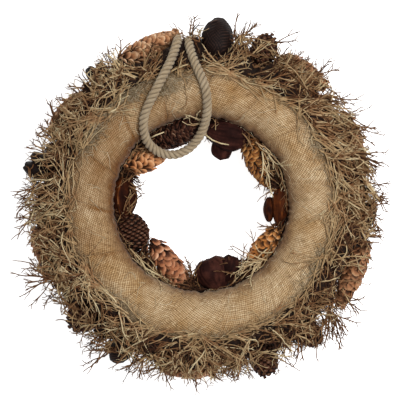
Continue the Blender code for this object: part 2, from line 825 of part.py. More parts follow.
def rope_recess(rope, group):
    """The rope's loop grown by its clearance, as a closed mesh."""
    fat = bpy.data.objects.new("rope_recess", rope.data.copy())
    fat.data.bevel_depth = ROPE_RADIUS + 3 * GAP
    group.objects.link(fat)
    mesh = evaluated_mesh(fat)
    bpy.data.objects.remove(fat)
    shape = bmesh.new()
    shape.from_mesh(mesh)
    bmesh.ops.remove_doubles(shape, verts=shape.verts, dist=MERGE)
    return hide_cutter(add_object("rope_recess", to_mesh("rope_recess", shape), group))


def build():
    clear_scene()
    parts = new_collection("wreath")
    cutters = new_collection("cutters")
    finishes = {
        "spruce_cone": material("spruce_scale", (0.36, 0.15, 0.06), 0.75),
        "pine_cone": material("pine_scale", (0.06, 0.03, 0.018), 0.7),
        "fluted_pod": material("black_husk", (0.022, 0.015, 0.013), 0.7),
        "smooth_pod": material("red_brown_husk", (0.06, 0.012, 0.005), 0.45),
    }
    straw_ring(parts, material("straw", (0.50, 0.38, 0.17), 0.9))
    wrap = burlap_wrap(parts, material("burlap", (0.42, 0.28, 0.15), 0.95))
    clearance = wrap_clearance(cutters)
    ground = ground_block(cutters)
    rope = rope_loop(parts, material("jute_rope", (0.31, 0.25, 0.17), 0.95))
    fixed, recesses = [wrap, rope], [(ROPE_ANGLE, rope_recess(rope, cutters))]
    for pieces, where in ((OUTER_PIECES, "outer"), (INNER_PIECES, "inner"), (FACE_PIECES, "face")):
        made, holes = add_pieces(pieces, where, parts, cutters, finishes, clearance, ground)
        fixed += made
        recesses += holes
    add_sprays(parts, cutters, fixed, recesses, material("twig_bark", (0.25, 0.18, 0.11), 0.9))


build()
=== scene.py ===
import math
import random

import bmesh
import bpy
import numpy
from mathutils import Matrix, Vector, noise


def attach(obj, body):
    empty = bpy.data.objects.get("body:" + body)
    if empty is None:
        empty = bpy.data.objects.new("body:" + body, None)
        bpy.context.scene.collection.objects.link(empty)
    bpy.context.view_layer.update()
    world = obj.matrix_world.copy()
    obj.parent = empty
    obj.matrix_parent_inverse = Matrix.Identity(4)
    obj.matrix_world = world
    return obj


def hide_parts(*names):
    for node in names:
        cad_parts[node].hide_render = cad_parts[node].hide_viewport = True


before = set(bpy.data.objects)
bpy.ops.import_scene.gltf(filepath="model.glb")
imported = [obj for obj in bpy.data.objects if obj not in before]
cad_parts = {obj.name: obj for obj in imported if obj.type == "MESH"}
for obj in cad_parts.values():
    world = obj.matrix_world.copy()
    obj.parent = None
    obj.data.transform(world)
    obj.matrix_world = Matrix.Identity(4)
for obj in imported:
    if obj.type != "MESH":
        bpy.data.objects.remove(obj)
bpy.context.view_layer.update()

# Camera
# The wreath lies on its face and is seen from straight above, so its back shows. The camera is 3 m up,
# where near burlap and far cones keep the sizes that the photograph shows.
VIEW_WIDTH = 0.434
VIEW_MIDDLE = (0.0004, -0.0005)
VIEW_DISTANCE = 3.0
FACE_HEIGHT = 0.06
SENSOR_WIDTH = 36
bpy.ops.object.select_all(action="DESELECT")
bpy.ops.object.camera_add(location=(*VIEW_MIDDLE, FACE_HEIGHT + VIEW_DISTANCE), rotation=(0, 0, 0))
camera = bpy.context.object
camera.name = "camera"
camera.data.sensor_width = SENSOR_WIDTH
camera.data.lens = SENSOR_WIDTH * VIEW_DISTANCE / VIEW_WIDTH
camera.data.clip_end = 20
bpy.context.scene.camera = camera
bpy.context.scene.view_settings.view_transform = "Standard"


# Rope loop
# A hanging loop of three-strand jute, 10 mm thick, laid to the right with 17 mm to a turn. Both its ends
# are tucked under the twigs at the top, and it rests on the burlap and on the cone below it.

# Shapes are worked out in mm from here on, and MM turns them to metres. Materials take metres.
MM = 0.001
# The ring's centre in plan, and the height of its tube's middle
RING_X, RING_Y, RING_HEIGHT = 1.5, -4.9, 68.0
ROPE_RADIUS, ROPE_STEP = 5.1, 1.05
# The rope's centre line, in plan from the ring's centre, and its height
ROPE_ROUTE = (
    (-24.5, 179.3, 67), (-25.4, 176.8, 72.5), (-27.5, 169.0, 79.5), (-31.8, 156.0, 87.5),
    (-39.0, 141.0, 95.5), (-46.7, 125.5, 100.8), (-54.5, 110.0, 102.0), (-60.3, 95.5, 100.9),
    (-61.8, 82.0, 95.6), (-57.8, 67.5, 85.5), (-48.5, 58.0, 77.5), (-36.0, 53.4, 73.5),
    (-23.0, 54.6, 72.3), (-12.0, 61.0, 73.2), (-3.5, 70.5, 77.0), (2.5, 82.0, 83.5),
    (6.0, 95.5, 91.5), (6.6, 108.0, 98.6), (5.2, 122.0, 102.0), (0.6, 136.0, 99.6),
    (-5.2, 148.5, 92.2), (-9.6, 160.0, 84.0), (-12.4, 170.0, 76.0), (-13.4, 176.5, 69.5),
    (-13.6, 178.8, 64.0),
)
# Each strand's radius, its distance from the rope's centre line, the length of a turn, and its flat sides
STRAND_RADIUS, STRAND_OFFSET, STRAND_LAY, STRAND_SIDES = 2.2, 2.9, 17.0, 12
YARN_LEAN = math.radians(28)
ROPE_FIBRES = 420
MULTIPLIED = {"data_type": "RGBA", "blend_type": "MULTIPLY"}


def linear(hex_colour):
    """An sRGB hex colour as the linear values that a shader takes."""
    parts = [int(hex_colour[at:at + 2], 16) / 255 for at in (1, 3, 5)]
    return (*[v / 12.92 if v <= 0.04045 else ((v + 0.055) / 1.055) ** 2.4 for v in parts], 1)


def add_node(material, kind, settings=None, links=None):
    """Adds a node, with its fields, sockets and colour stops set and its inputs linked."""
    tree = material.node_tree
    node = tree.nodes.new("ShaderNode" + kind)
    for key, value in (settings or {}).items():
        if key == "stops":
            stops = node.color_ramp.elements
            while len(stops) < len(value):
                stops.new(0.5)
            for stop, (place, colour) in zip(stops, value):
                stop.position = place
                stop.color = linear(colour)
        elif isinstance(key, int) or key[0].isupper():
            node.inputs[key].default_value = value
        else:
            setattr(node, key, value)
    for key, (source, socket) in (links or {}).items():
        tree.links.new(source.outputs[socket], node.inputs[key])
    return node


def new_material(name):
    """An empty material, to which nodes are added."""
    material = bpy.data.materials.new(name)
    material.use_nodes = True
    material.node_tree.nodes.clear()
    return material


def finish_off(material, colour, settings, height=None, strength=0.0, depth=0.0):
    """Adds the surface and the output, with a bump where there is a height."""
    links = {"Base Color": colour} if colour else {}
    if height:
        bump = add_node(material, "Bump", {"Strength": strength, "Distance": depth}, {"Height": height})
        links["Normal"] = (bump, "Normal")
    surface = add_node(material, "BsdfPrincipled", settings, links)
    add_node(material, "OutputMaterial", None, {"Surface": (surface, "BSDF")})


def held(value):
    """A tone held between 0 and 1."""
    return min(1.0, max(0.0, value))


def uneven(x, y, z):
    """Smooth noise at a place, from about -1 to 1."""
    return noise.noise(Vector((x, y, z)))


def eased(before, here, there, after, t):
    """A value or point at a share of the way from here to there, on a smooth curve through all four."""
    return 0.5 * (2 * here + (there - before) * t + (2 * before - 5 * here + 4 * there - after) * t ** 2
                  + (3 * here - before - 3 * there + after) * t ** 3)


def runs_along(line):
    """The length along a line at each of its points."""
    runs = [0.0]
    for here, there in zip(line, line[1:]):
        runs.append(runs[-1] + (there - here).length)
    return runs


def smooth_route(points, spacing):
    """Points at even spacing on a smooth curve through the route's own points."""
    fine = []
    count = len(points)
    for index in range(count - 1):
        before, after = points[max(index - 1, 0)], points[min(index + 2, count - 1)]
        for part in range(12):
            fine.append(eased(before, points[index], points[index + 1], after, part / 12))
    fine.append(points[-1])
    lengths = runs_along(fine)
    pieces = round(lengths[-1] / spacing)
    even, at = [], 0
    for index in range(pieces + 1):
        goal = lengths[-1] * index / pieces
        while at < len(fine) - 2 and lengths[at + 1] < goal:
            at += 1
        share = (goal - lengths[at]) / (lengths[at + 1] - lengths[at])
        even.append(fine[at].lerp(fine[at + 1], share))
    return even


def frames_along(line):
    """The direction and two crosswise directions at each point of a line, without twist."""
    count = len(line)
    frames = []
    side = None
    for index in range(count):
        ahead = line[min(index + 1, count - 1)] - line[max(index - 1, 0)]
        ahead = ahead.normalized() if ahead.length > 1e-6 else Vector((0, 0, 1))
        if side is None:
            side = ahead.orthogonal()
        side = side - ahead * side.dot(ahead)
        side = side.normalized() if side.length > 1e-6 else ahead.orthogonal().normalized()
        frames.append((ahead, side, ahead.cross(side)))
    return frames


class Strands:
    """Thin closed tubes gathered for one piece, each point with a tone and a place on its tube."""

    def __init__(self):
        self.points, self.faces, self.tones, self.places = [], [], [], []

    def add(self, line, radii, sides, tones, turn=0.0):
        """Adds a tube round a line, closed at both ends."""
        first = len(self.points)
        run = 0.0
        for index, (_, side, across) in enumerate(frames_along(line)):
            if index:
                run += (line[index] - line[index - 1]).length
            for part in range(sides):
                angle = turn + 2 * math.pi * part / sides
                self.points.append(line[index] + radii[index] * (math.cos(angle) * side
                                                                 + math.sin(angle) * across))
                self.tones.append(tones[index])
                self.places.append((run, radii[0] * 2 * math.pi * part / sides))
        rings = len(line)
        for index in range(rings - 1):
            low = first + index * sides
            for part in range(sides):
                after = (part + 1) % sides
                self.faces.append((low + part, low + after, low + sides + after, low + sides + part))
        self.faces.append(tuple(first + part for part in reversed(range(sides))))
        self.faces.append(tuple(first + (rings - 1) * sides + part for part in range(sides)))


def lay_down(name, points, faces, tones, material, places=None):
    """A piece from points in mm, none below the floor: a smooth mesh with a tone and, from places, a map."""
    mesh = bpy.data.meshes.new(name)
    mesh.from_pydata([(MM * x, MM * y, MM * max(z, 0.0)) for x, y, z in points], [], faces)
    mesh.polygons.foreach_set("use_smooth", [True] * len(mesh.polygons))
    tone = mesh.attributes.new("tone", "FLOAT", "POINT")
    tone.data.foreach_set("value", tones)
    mesh.materials.append(material)
    if places is not None:
        layer = mesh.uv_layers.new(name="UVMap")
        corners = numpy.empty(len(mesh.loops), dtype=numpy.int32)
        mesh.loops.foreach_get("vertex_index", corners)
        flat = numpy.array(places, dtype=numpy.float32)[corners] * MM
        layer.data.foreach_set("uv", flat.ravel())
    mesh.validate()
    mesh.update()
    piece = bpy.data.objects.new(name, mesh)
    bpy.context.scene.collection.objects.link(piece)
    return piece


# Jute: dull grey-tan yarn with short hairy fibres, with painted shade down between the strands
jute_rope = new_material("jute_rope")
jute_map = add_node(jute_rope, "UVMap", {"uv_map": "UVMap"})
jute_depth = add_node(jute_rope, "Attribute", {"attribute_name": "tone"})
jute_place = add_node(jute_rope, "TexCoord")
# Yarns lie 1.1 mm apart in each strand and lean back across it
yarn_lean = add_node(jute_rope, "Mapping", {"Rotation": (0, 0, YARN_LEAN)}, {"Vector": (jute_map, "UV")})
yarn_lines = add_node(jute_rope, "TexWave", {"bands_direction": "Y", "Scale": 145.0, "Distortion": 2.5,
                                             "Detail": 2.0, "Detail Scale": 2.0},
                      {"Vector": (yarn_lean, "Vector")})
fibre_stretch = add_node(jute_rope, "Mapping", {"Rotation": (0, 0, YARN_LEAN), "Scale": (220, 1800, 1)},
                         {"Vector": (jute_map, "UV")})
fibres = add_node(jute_rope, "TexNoise", {"Scale": 1.0, "Detail": 3.0, "Roughness": 0.6},
                  {"Vector": (fibre_stretch, "Vector")})
jute_patches = add_node(jute_rope, "TexNoise", {"Scale": 60.0, "Detail": 2.0},
                        {"Vector": (jute_place, "Object")})
jute_shades = add_node(jute_rope, "ValToRGB",
                       {"stops": ((0.25, "#8C7C67"), (0.5, "#A89880"), (0.75, "#C5B69D"))},
                       {"Fac": (fibres, "Fac")})
# Painted shade: darker down in the grooves between the strands, by the tone
jute_groove_shade = add_node(jute_rope, "ValToRGB",
                       {"stops": ((0.0, "#8D806B"), (0.5, "#D8D0C0"), (1.0, "#FFFFFF"))},
                       {"Fac": (jute_depth, "Fac")})
jute_shaded = add_node(jute_rope, "Mix", {**MULTIPLIED, 0: 1.0},
                       {6: (jute_shades, "Color"), 7: (jute_groove_shade, "Color")})
jute_stained = add_node(jute_rope, "Mix", {**MULTIPLIED, 7: linear("#DDD2C0")},
                        {0: (jute_patches, "Fac"), 6: (jute_shaded, 2)})
jute_height = add_node(jute_rope, "Math", {"operation": "MULTIPLY_ADD", 1: 0.5},
                       {0: (yarn_lines, "Fac"), 2: (fibres, "Fac")})
finish_off(jute_rope, (jute_stained, 2), {"Roughness": 0.9, "Sheen Weight": 0.15, "Specular IOR Level": 0.25},
           (jute_height, "Value"), 0.7, 0.0005)

rope_points = [Vector((RING_X + x, RING_Y + y, z)) for x, y, z in ROPE_ROUTE]
rope_line = smooth_route(rope_points, 2.5 * ROPE_RADIUS)
rope_fine = smooth_route(rope_line, ROPE_STEP)
rope_frames = frames_along(rope_fine)
rope_run = runs_along(rope_fine)
rope = Strands()
for strand in range(3):
    strand_line = []
    for point, run, (_, side, across) in zip(rope_fine, rope_run, rope_frames):
        angle = 2 * math.pi * (run / STRAND_LAY + strand / 3)
        strand_line.append(point + STRAND_OFFSET * (math.cos(angle) * side + math.sin(angle) * across))
    thick = [STRAND_RADIUS * (1 + 0.05 * uneven(run / 9, strand * 5.0, 0.5)) for run in rope_run]
    rope.add(strand_line, thick, STRAND_SIDES, [0.0] * len(strand_line))
# The tone is 0 down between the strands and 1 on their outer side; the rope's material paints shade where it
# is low
rope_tones = []
for index, point in enumerate(rope.points):
    middle = rope_fine[index // STRAND_SIDES % len(rope_fine)]
    rope_tones.append(held(((point - middle).length - 2.6) / 2.3))
rope_piece = lay_down("jute_rope_loop", rope.points, rope.faces, rope_tones, jute_rope, rope.places)
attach(rope_piece, "root")
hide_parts("rope_loop")

# Loose fibres that stand a few mm out of the rope
random.seed(11)
fuzz = Strands()
for _ in range(ROPE_FIBRES):
    at = random.randrange(4, len(rope_fine) - 4)
    ahead, side, across = rope_frames[at]
    angle = random.uniform(0, 2 * math.pi)
    out = math.cos(angle) * side + math.sin(angle) * across
    start = rope_fine[at] + out * random.uniform(3.8, 4.8)
    drift = (ahead * random.uniform(-1, 1) + out * random.uniform(0.3, 0.9)
             + Vector((random.uniform(-0.5, 0.5), random.uniform(-0.5, 0.5), random.uniform(-0.3, 0.3))))
    size = random.uniform(1.5, 4.0)
    bend = Vector((random.uniform(-1, 1), random.uniform(-1, 1), random.uniform(-1, 1))) * size * 0.25
    way = drift.normalized() * size
    fuzz.add([start, start + way * 0.5 + bend * 0.4, start + way + bend], [0.09, 0.08, 0.05], 3, [1.0] * 3)
fuzz_piece = lay_down("jute_rope_fibres", fuzz.points, fuzz.faces, fuzz.tones, jute_rope, fuzz.places)
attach(fuzz_piece, "root")


# Straw ring
# The wreath's body: rye straw bound into a ring 30 cm across, hidden under the burlap. Its stems are pale
# gold with a slight gloss.
straw = new_material("rye_straw")
straw_place = add_node(straw, "TexCoord")
straw_stems = add_node(straw, "TexNoise", {"Scale": 900.0, "Detail": 3.0},
                       {"Vector": (straw_place, "Object")})
straw_shades = add_node(straw, "ValToRGB", {"stops": ((0.3, "#8A6A34"), (0.7, "#D9BF7E"))},
                        {"Fac": (straw_stems, "Fac")})
finish_off(straw, (straw_shades, "Color"), {"Roughness": 0.6}, (straw_stems, "Fac"), 0.5, 0.001)
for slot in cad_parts["straw_ring"].material_slots:
    slot.material = straw


# Burlap
# One ribbon of jute hessian, 60 mm by 2.7 m, wound fifteen times round the straw. Each turn's free edge lies
# over the next turn. The cloth stretches round the outer side and gathers into pleats round the hole.
RING_RADIUS, TUBE_RADIUS = 123.5, 28.5
CLOTH_REACH, RIBBON_WIDTH = 27.9, 60
# Angles round the ring at which the ribbon's free edge crosses the tube's top, from the photograph
WRAP_EDGES = (10, 39, 62, 87, 108, 131, 157, 180, 206, 232, 254, 281, 307, 331, 353)
# How far, in degrees, each turn runs on under the one before
WRAP_TUCK = 3.2
WRAP_ROWS, WRAP_COLUMNS = 112, 20
# How far the weave of each turn is turned, in degrees
WRAP_WEAVE_TURNS = (38, 46, 4, 8, 28, 44, 12, 6, 24, 46, 2, 30, 10, 3, 40)
# Distance between the weave's threads as drawn, in metres
THREAD_PITCH = 0.00205


def ring_point(angle, around, reach):
    """A point by its angles round the ring and round its tube, in degrees, and its reach in mm."""
    angle, around = math.radians(angle), math.radians(around)
    out = RING_RADIUS + reach * math.cos(around)
    return Vector((RING_X + out * math.cos(angle), RING_Y + out * math.sin(angle),
                   RING_HEIGHT + reach * math.sin(around)))


def free_edge(turns):
    """Ring angle of the ribbon's free edge after so many turns, on a smooth curve."""
    count = len(WRAP_EDGES)
    low = math.floor(turns)
    four = [WRAP_EDGES[(low + step) % count] + 360 * ((low + step) // count) for step in (-1, 0, 1, 2)]
    return eased(*four, turns - low)


def pleats(angle, around):
    """How far the cloth stands out of its mean reach: pleats by the hole, drag lines, slow hollows."""
    turn, side = math.radians(angle), math.radians(around)
    inner = 0.5 - 0.5 * math.cos(side)
    gather = max(0.0, (inner - 0.42) / 0.58) ** 1.1

    def field(pitch, twist, lift, seed):
        reach = RING_RADIUS / pitch
        return uneven(math.cos(turn + twist * side) * reach, math.sin(turn + twist * side) * reach,
                      lift * math.cos(side) + seed)

    fold = 1 - abs(2.6 * field(8.0, 0.0, 0.8, 3.1))
    slack = field(34.0, 0.25, 1.0, 17.7)
    drag = field(13.0, 0.5, 1.3, 9.4)
    cross = field(10.0, -0.6, 1.2, 29.4)
    return gather * 1.6 * fold + 0.75 * slack + 0.32 * drag + 0.25 * cross


def peak(value, middle, spread):
    """1 at the middle, falling evenly to 0 at the spread to either side."""
    return max(0.0, 1 - abs(value - middle) / spread)


# Hessian: plain weave of round, uneven jute threads, with painted shade in the small gaps between them. Real
# threads lie
# 1.8 mm apart; 2.05 mm is drawn, so that they show at the photograph's size.
burlap = new_material("burlap_hessian")
burlap_map = add_node(burlap, "UVMap", {"uv_map": "UVMap"})
burlap_place = add_node(burlap, "TexCoord")
burlap_soil_and_shade = add_node(burlap, "Attribute", {"attribute_name": "tone"})
thread_drift = add_node(burlap, "TexNoise", {"Scale": 90.0, "Detail": 2.0},
                        {"Vector": (burlap_place, "Object")})
thread_shift = add_node(burlap, "VectorMath", {"operation": "MULTIPLY_ADD", 1: (0.0024, 0.0024, 0.0)},
                        {0: (thread_drift, "Color"), 2: (burlap_map, "UV")})
thread_axes = add_node(burlap, "SeparateXYZ", None, {"Vector": (thread_shift, "Vector")})
# Each way of the weave: a wave across its threads, their round tops, and slubs, which are thick and thin
# stretches 1 thread wide and 12 mm long
thread_waves, thread_tops, thread_slubs = [], [], []
for axis, stretch in (("X", (480, 80, 1)), ("Y", (80, 480, 1))):
    phase = add_node(burlap, "Math", {"operation": "MULTIPLY", 1: math.pi / THREAD_PITCH},
                     {0: (thread_axes, axis)})
    thread_waves.append(add_node(burlap, "Math", {"operation": "SINE"}, {0: (phase, "Value")}))
    thread_tops.append(add_node(burlap, "Math", {"operation": "ABSOLUTE"}, {0: (thread_waves[-1], "Value")}))
    stretched = add_node(burlap, "Mapping", {"Scale": stretch}, {"Vector": (thread_shift, "Vector")})
    thread_slubs.append(add_node(burlap, "TexNoise", {"Scale": 1.0, "Detail": 2.0},
                                 {"Vector": (stretched, "Vector")}))
over_under = add_node(burlap, "Math", {"operation": "MULTIPLY"},
                      {0: (thread_waves[0], "Value"), 1: (thread_waves[1], "Value")})
warp_over = add_node(burlap, "Math", {"operation": "MULTIPLY_ADD", 1: 0.5, 2: 0.5},
                     {0: (over_under, "Value")})
weave_height = add_node(burlap, "Mix", {"data_type": "FLOAT"},
                        {0: (warp_over, "Value"), 2: (thread_tops[1], "Value"), 3: (thread_tops[0], "Value")})
slubs = add_node(burlap, "Mix", {"data_type": "FLOAT"},
                 {0: (warp_over, "Value"), 2: (thread_slubs[1], "Fac"), 3: (thread_slubs[0], "Fac")})
thread_shades = add_node(burlap, "ValToRGB",
                         {"stops": ((0.28, "#957E5D"), (0.5, "#CAB391"), (0.72, "#E4D5BA"))},
                         {"Fac": (slubs, 0)})
# Painted shade: darker where the weave is low, between the threads
weave_gap_shade = add_node(burlap, "ValToRGB",
                       {"stops": ((0.10, "#46331F"), (0.42, "#C8B69A"), (0.8, "#FFFFFF"))},
                       {"Fac": (weave_height, 0)})
woven = add_node(burlap, "Mix", {**MULTIPLIED, 0: 1.0},
                 {6: (thread_shades, "Color"), 7: (weave_gap_shade, "Color")})
burlap_patches = add_node(burlap, "TexNoise", {"Scale": 28.0, "Detail": 4.0, "Roughness": 0.6},
                          {"Vector": (burlap_place, "Object")})
patch_shades = add_node(burlap, "ValToRGB", {"stops": ((0.3, "#D8C2A2"), (0.7, "#FFFFFF"))},
                        {"Fac": (burlap_patches, "Fac")})
patched = add_node(burlap, "Mix", {**MULTIPLIED, 0: 1.0}, {6: (woven, 2), 7: (patch_shades, "Color")})
# The tone darkens the cloth toward brown: random stains, and painted shadow beside the lapped edges
soiled_and_shaded = add_node(burlap, "Mix", {**MULTIPLIED, 7: linear("#A8814A")},
                  {0: (burlap_soil_and_shade, "Fac"), 6: (patched, 2)})
finish_off(burlap, (soiled_and_shaded, 2), {"Roughness": 0.95, "Sheen Weight": 0.1, "Specular IOR Level": 0.2},
           (weave_height, 0), 0.8, 0.0005)

burlap_points, burlap_tones, burlap_places = [], [], []
wrap_steps = len(WRAP_EDGES) * WRAP_ROWS
for step in range(wrap_steps):
    turns = step / WRAP_ROWS - 0.5
    around = (step % WRAP_ROWS) / WRAP_ROWS * 360 - 90
    inner = 0.5 - 0.5 * math.cos(math.radians(around))
    low = free_edge(turns - 1) - WRAP_TUCK
    high = free_edge(turns) + 0.35 * uneven(turns * 19.0, 4.2, 0.0)
    raised = 0.05 + 0.9 * max(0.0, uneven(turns * 9.0, 1.7, 0.0))
    lap_shadow_strength = max(0.0, 0.32 + uneven(turns * 5, 8.0, 0))
    for column in range(WRAP_COLUMNS + 1):
        share = column / WRAP_COLUMNS
        angle = low + (high - low) * share
        lift = max(0.0, (share - 0.9) / 0.1)
        reach = CLOTH_REACH + 0.26 * share + 0.8 * (lift * raised) + pleats(angle, around)
        spot = ring_point(angle, around, reach)
        burlap_points.append(spot)
        # Darker on the tube's outer side near the brush and on its inner side by the hole, with random stains
        soil_and_shade = peak(around, 10, 52) + 0.75 * max(0.0, (inner - 0.80) / 0.2)
        soil_and_shade += 0.28 * noise.noise(spot / 16) + 0.15 * noise.noise(spot / 5)
        # Painted shadow just past the lapped edge of the turn before, stronger on some turns than others
        soil_and_shade += 0.8 * peak(share, 0.135, 0.055) * lap_shadow_strength
        # The photograph's cloth is darker at its left and at the upper right, and lighter at the bottom
        soil_and_shade += 0.60 * peak(angle % 360, 155, 80)
        soil_and_shade += 0.14 * peak(angle % 360, 62, 40)
        soil_and_shade -= 0.22 * peak(angle % 360, 272, 60)
        burlap_tones.append(held(soil_and_shade))
        burlap_places.append((share * RIBBON_WIDTH, turns * 2 * math.pi * TUBE_RADIUS))
burlap_faces = []
for step in range(wrap_steps):
    here, after = step * (WRAP_COLUMNS + 1), (step + 1) % wrap_steps * (WRAP_COLUMNS + 1)
    for column in range(WRAP_COLUMNS):
        burlap_faces.append((here + column, here + column + 1, after + column + 1, after + column))
burlap_piece = lay_down("burlap_ribbon", burlap_points, burlap_faces, burlap_tones, burlap)
# The cloth's own map, turned a little from one turn of the ribbon to the next
burlap_flat = []
for face_index, face in enumerate(burlap_faces):
    step = face_index // WRAP_COLUMNS
    lean = math.radians(WRAP_WEAVE_TURNS[step // WRAP_ROWS])
    for corner, point_index in enumerate(face):
        across, along = burlap_places[point_index]
        if corner > 1 and step == wrap_steps - 1:
            along += len(WRAP_EDGES) * 2 * math.pi * TUBE_RADIUS
        burlap_flat.append(MM * (across * math.cos(lean) - along * math.sin(lean)))
        burlap_flat.append(MM * (across * math.sin(lean) + along * math.cos(lean)))
burlap_piece.data.uv_layers.new(name="UVMap").data.foreach_set("uv", burlap_flat)
bpy.ops.object.select_all(action="DESELECT")
bpy.context.view_layer.objects.active = burlap_piece
burlap_piece.select_set(True)
cloth_wall = burlap_piece.modifiers.new("cloth", "SOLIDIFY")
cloth_wall.thickness = 0.0004
cloth_wall.offset = -1
bpy.ops.object.modifier_apply(modifier="cloth")
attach(burlap_piece, "root")
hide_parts("burlap_wrap")


# Loose threads and bast
# Frayed ends stand out where the cloth gathers at the hole, and odd threads lie over it. Short grey bast
# fibres are matted at the brush's edge and in patches, most of them at the upper left.
FIBRE_STEP = 2.4
THREADS_AT_HOLE, THREADS_OVER_CLOTH, BAST_BY_BRUSH = 95, 60, 992
# Patches of matted bast: middle round the ring and round the tube, their spreads, and the number of fibres
BAST_PATCHES = ((147, 60, 8, 11, 270), (123, 57, 10, 10, 280), (108, 82, 6, 8, 150), (100, 66, 6, 7, 90),
                (-128, 62, 10, 8, 110), (-28, 60, 10, 8, 120), (26, 60, 8, 7, 90))


def grained(material, grain_settings, weight, stops):
    """Starts a dry woody finish: Object coordinates, a grain, and shades picked by the grain and the tone."""
    place = add_node(material, "TexCoord")
    tone = add_node(material, "Attribute", {"attribute_name": "tone"})
    grain = add_node(material, "TexNoise", grain_settings, {"Vector": (place, "Object")})
    mix = add_node(material, "Math", {"operation": "MULTIPLY_ADD", 1: weight},
                   {0: (grain, "Fac"), 2: (tone, "Fac")})
    shades = add_node(material, "ValToRGB", {"stops": stops}, {"Fac": (mix, "Value")})
    return (place, "Object"), (grain, "Fac"), (shades, "Color")


# Bast: thin dull fibres, from grey-brown to pale straw
dry_bast = new_material("dry_bast_fibre")
_, _, bast_shades = grained(dry_bast, {"Scale": 600.0, "Detail": 2.0}, 0.25,
                            ((0.1, "#54432F"), (0.45, "#8D7A5C"), (0.75, "#B2A082"), (1.0, "#D5C8AC")))
finish_off(dry_bast, bast_shades, {"Roughness": 0.9, "Specular IOR Level": 0.15})


def surface_fibre(bundle, angle, around, course, length, thick, tone, stand):
    """A fibre that wanders over the burlap from a place on it, in short steps, and lifts at its end."""
    line = []
    turn = random.gauss(0, 0.16)
    count = max(3, round(length / FIBRE_STEP))
    for index in range(count):
        lift = stand * (0.3 + 0.7 * index / count) * random.uniform(0.6, 1.3)
        line.append(ring_point(angle, around, TUBE_RADIUS + 0.55 + pleats(angle, around) * 0.8 + lift))
        course += turn + random.gauss(0, 0.22)
        out = RING_RADIUS + TUBE_RADIUS * math.cos(math.radians(around))
        angle += math.degrees(FIBRE_STEP * math.cos(course) / out)
        around += math.degrees(FIBRE_STEP * math.sin(course) / TUBE_RADIUS)
    bundle.add(line, [thick * (1 - 0.4 * index / count) for index in range(count)], 3, [tone] * count,
               random.uniform(0, 2))


random.seed(77)
threads = Strands()
for _ in range(THREADS_AT_HOLE):
    surface_fibre(threads, random.uniform(0, 360), random.uniform(146, 176),
                  random.choice((0.5, 1, 1.5)) * math.pi + random.gauss(0, 0.5), random.uniform(5, 12), 0.2,
                  random.uniform(0.3, 0.85), 1.4)
for _ in range(THREADS_OVER_CLOTH):
    surface_fibre(threads, random.uniform(0, 360), random.uniform(62, 135), random.uniform(0, 2 * math.pi),
                  random.uniform(7, 26), 0.22, random.uniform(0.5, 1.0), 0.5)
threads_piece = lay_down("burlap_loose_threads", threads.points, threads.faces, threads.tones, dry_bast)
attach(threads_piece, "root")

bast = Strands()
for middle, level, wide, tall, count in BAST_PATCHES:
    for _ in range(count):
        surface_fibre(bast, random.gauss(middle, wide / 1.6), random.gauss(level, tall / 1.6),
                      random.uniform(0, 2 * math.pi), random.uniform(8, 18), 0.17,
                      random.uniform(-0.05, 0.8), 1.3)
for _ in range(BAST_BY_BRUSH):
    surface_fibre(bast, random.uniform(0, 360), random.gauss(50, 7), random.uniform(0, 2 * math.pi),
                  random.uniform(6, 15), 0.2, random.uniform(0.05, 0.75), 1.5)
bast_piece = lay_down("matted_bast_fibres", bast.points, bast.faces, bast.tones, dry_bast)
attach(bast_piece, "root")


# Where the cones and pods sit
# Each is glued and wired to the ring: kind, angle round the ring, distance of its middle from the ring's
# centre, height of its middle, length, width, the way its tip points, its tilt up and its roll.
OUTER_PIECES = (
    ("fluted_pod", 84.3, 180.6, 58, 46, 36, 86, -12, 0),
    ("pine_cone", 67.8, 179.5, 52, 42, 30, 66, -8, 20),
    ("spruce_cone", 52.5, 181.4, 50, 58, 28, -34, 4, 10),
    ("spruce_cone", 20.5, 175.4, 54, 80, 28, -74, -3, 0),
    ("smooth_pod", -3.5, 177.7, 52, 36, 28, 84, 5, 200),
    ("spruce_cone", -24.3, 181.1, 52, 76, 29, -112, 2, 25),
    ("pine_cone", -50.6, 180.0, 50, 42, 30, -38, 6, 0),
    ("pine_cone", -68.0, 180.3, 50, 44, 33, -72, -4, 15),
    ("spruce_cone", -93.5, 177.9, 52, 58, 28, -178, 3, 0),
    ("fluted_pod", -118.8, 180.1, 52, 34, 27, -120, 0, 10),
    ("pine_cone", -136.5, 176.0, 50, 42, 36, -140, -6, 0),
    ("spruce_cone", -164.5, 177.0, 52, 54, 28, -76, 4, 0),
    ("smooth_pod", 167.3, 177.0, 54, 38, 29, 150, -4, 120),
    ("spruce_cone", 147.6, 174.2, 52, 54, 30, 62, 3, 15),
    ("smooth_pod", 128.4, 177.0, 52, 30, 26, 120, 0, 60),
    ("spruce_cone", 108.8, 178.9, 55, 70, 27, 27, 2, 0),
)
INNER_PIECES = (
    ("pine_cone", 109.5, 81.6, 60.6, 58, 34, 20, 3, 0),
    ("smooth_pod", 68.6, 77.6, 60, 43, 40, -22, 0, 250),
    ("spruce_cone", 39.8, 77.4, 57, 58, 31, -69, 4, 0),
    ("smooth_pod", -3.0, 83.6, 56, 42, 29, 88, 0, 30),
    ("spruce_cone", -34.2, 84.6, 53, 60, 30, -131, 0, 15),
    ("smooth_pod", -77.5, 78.0, 59, 42, 40, 12, 0, 120),
    ("spruce_cone", -116.4, 76.0, 55, 70, 31, -54, -2, 0),
    ("pine_cone", -157.0, 80.4, 56, 44, 37, -78, 4, 10),
    ("smooth_pod", 174.4, 84.2, 58, 42, 29, 86, 0, 150),
    ("spruce_cone", 144.4, 79.6, 55, 46, 31, 13, 4, 0),
)
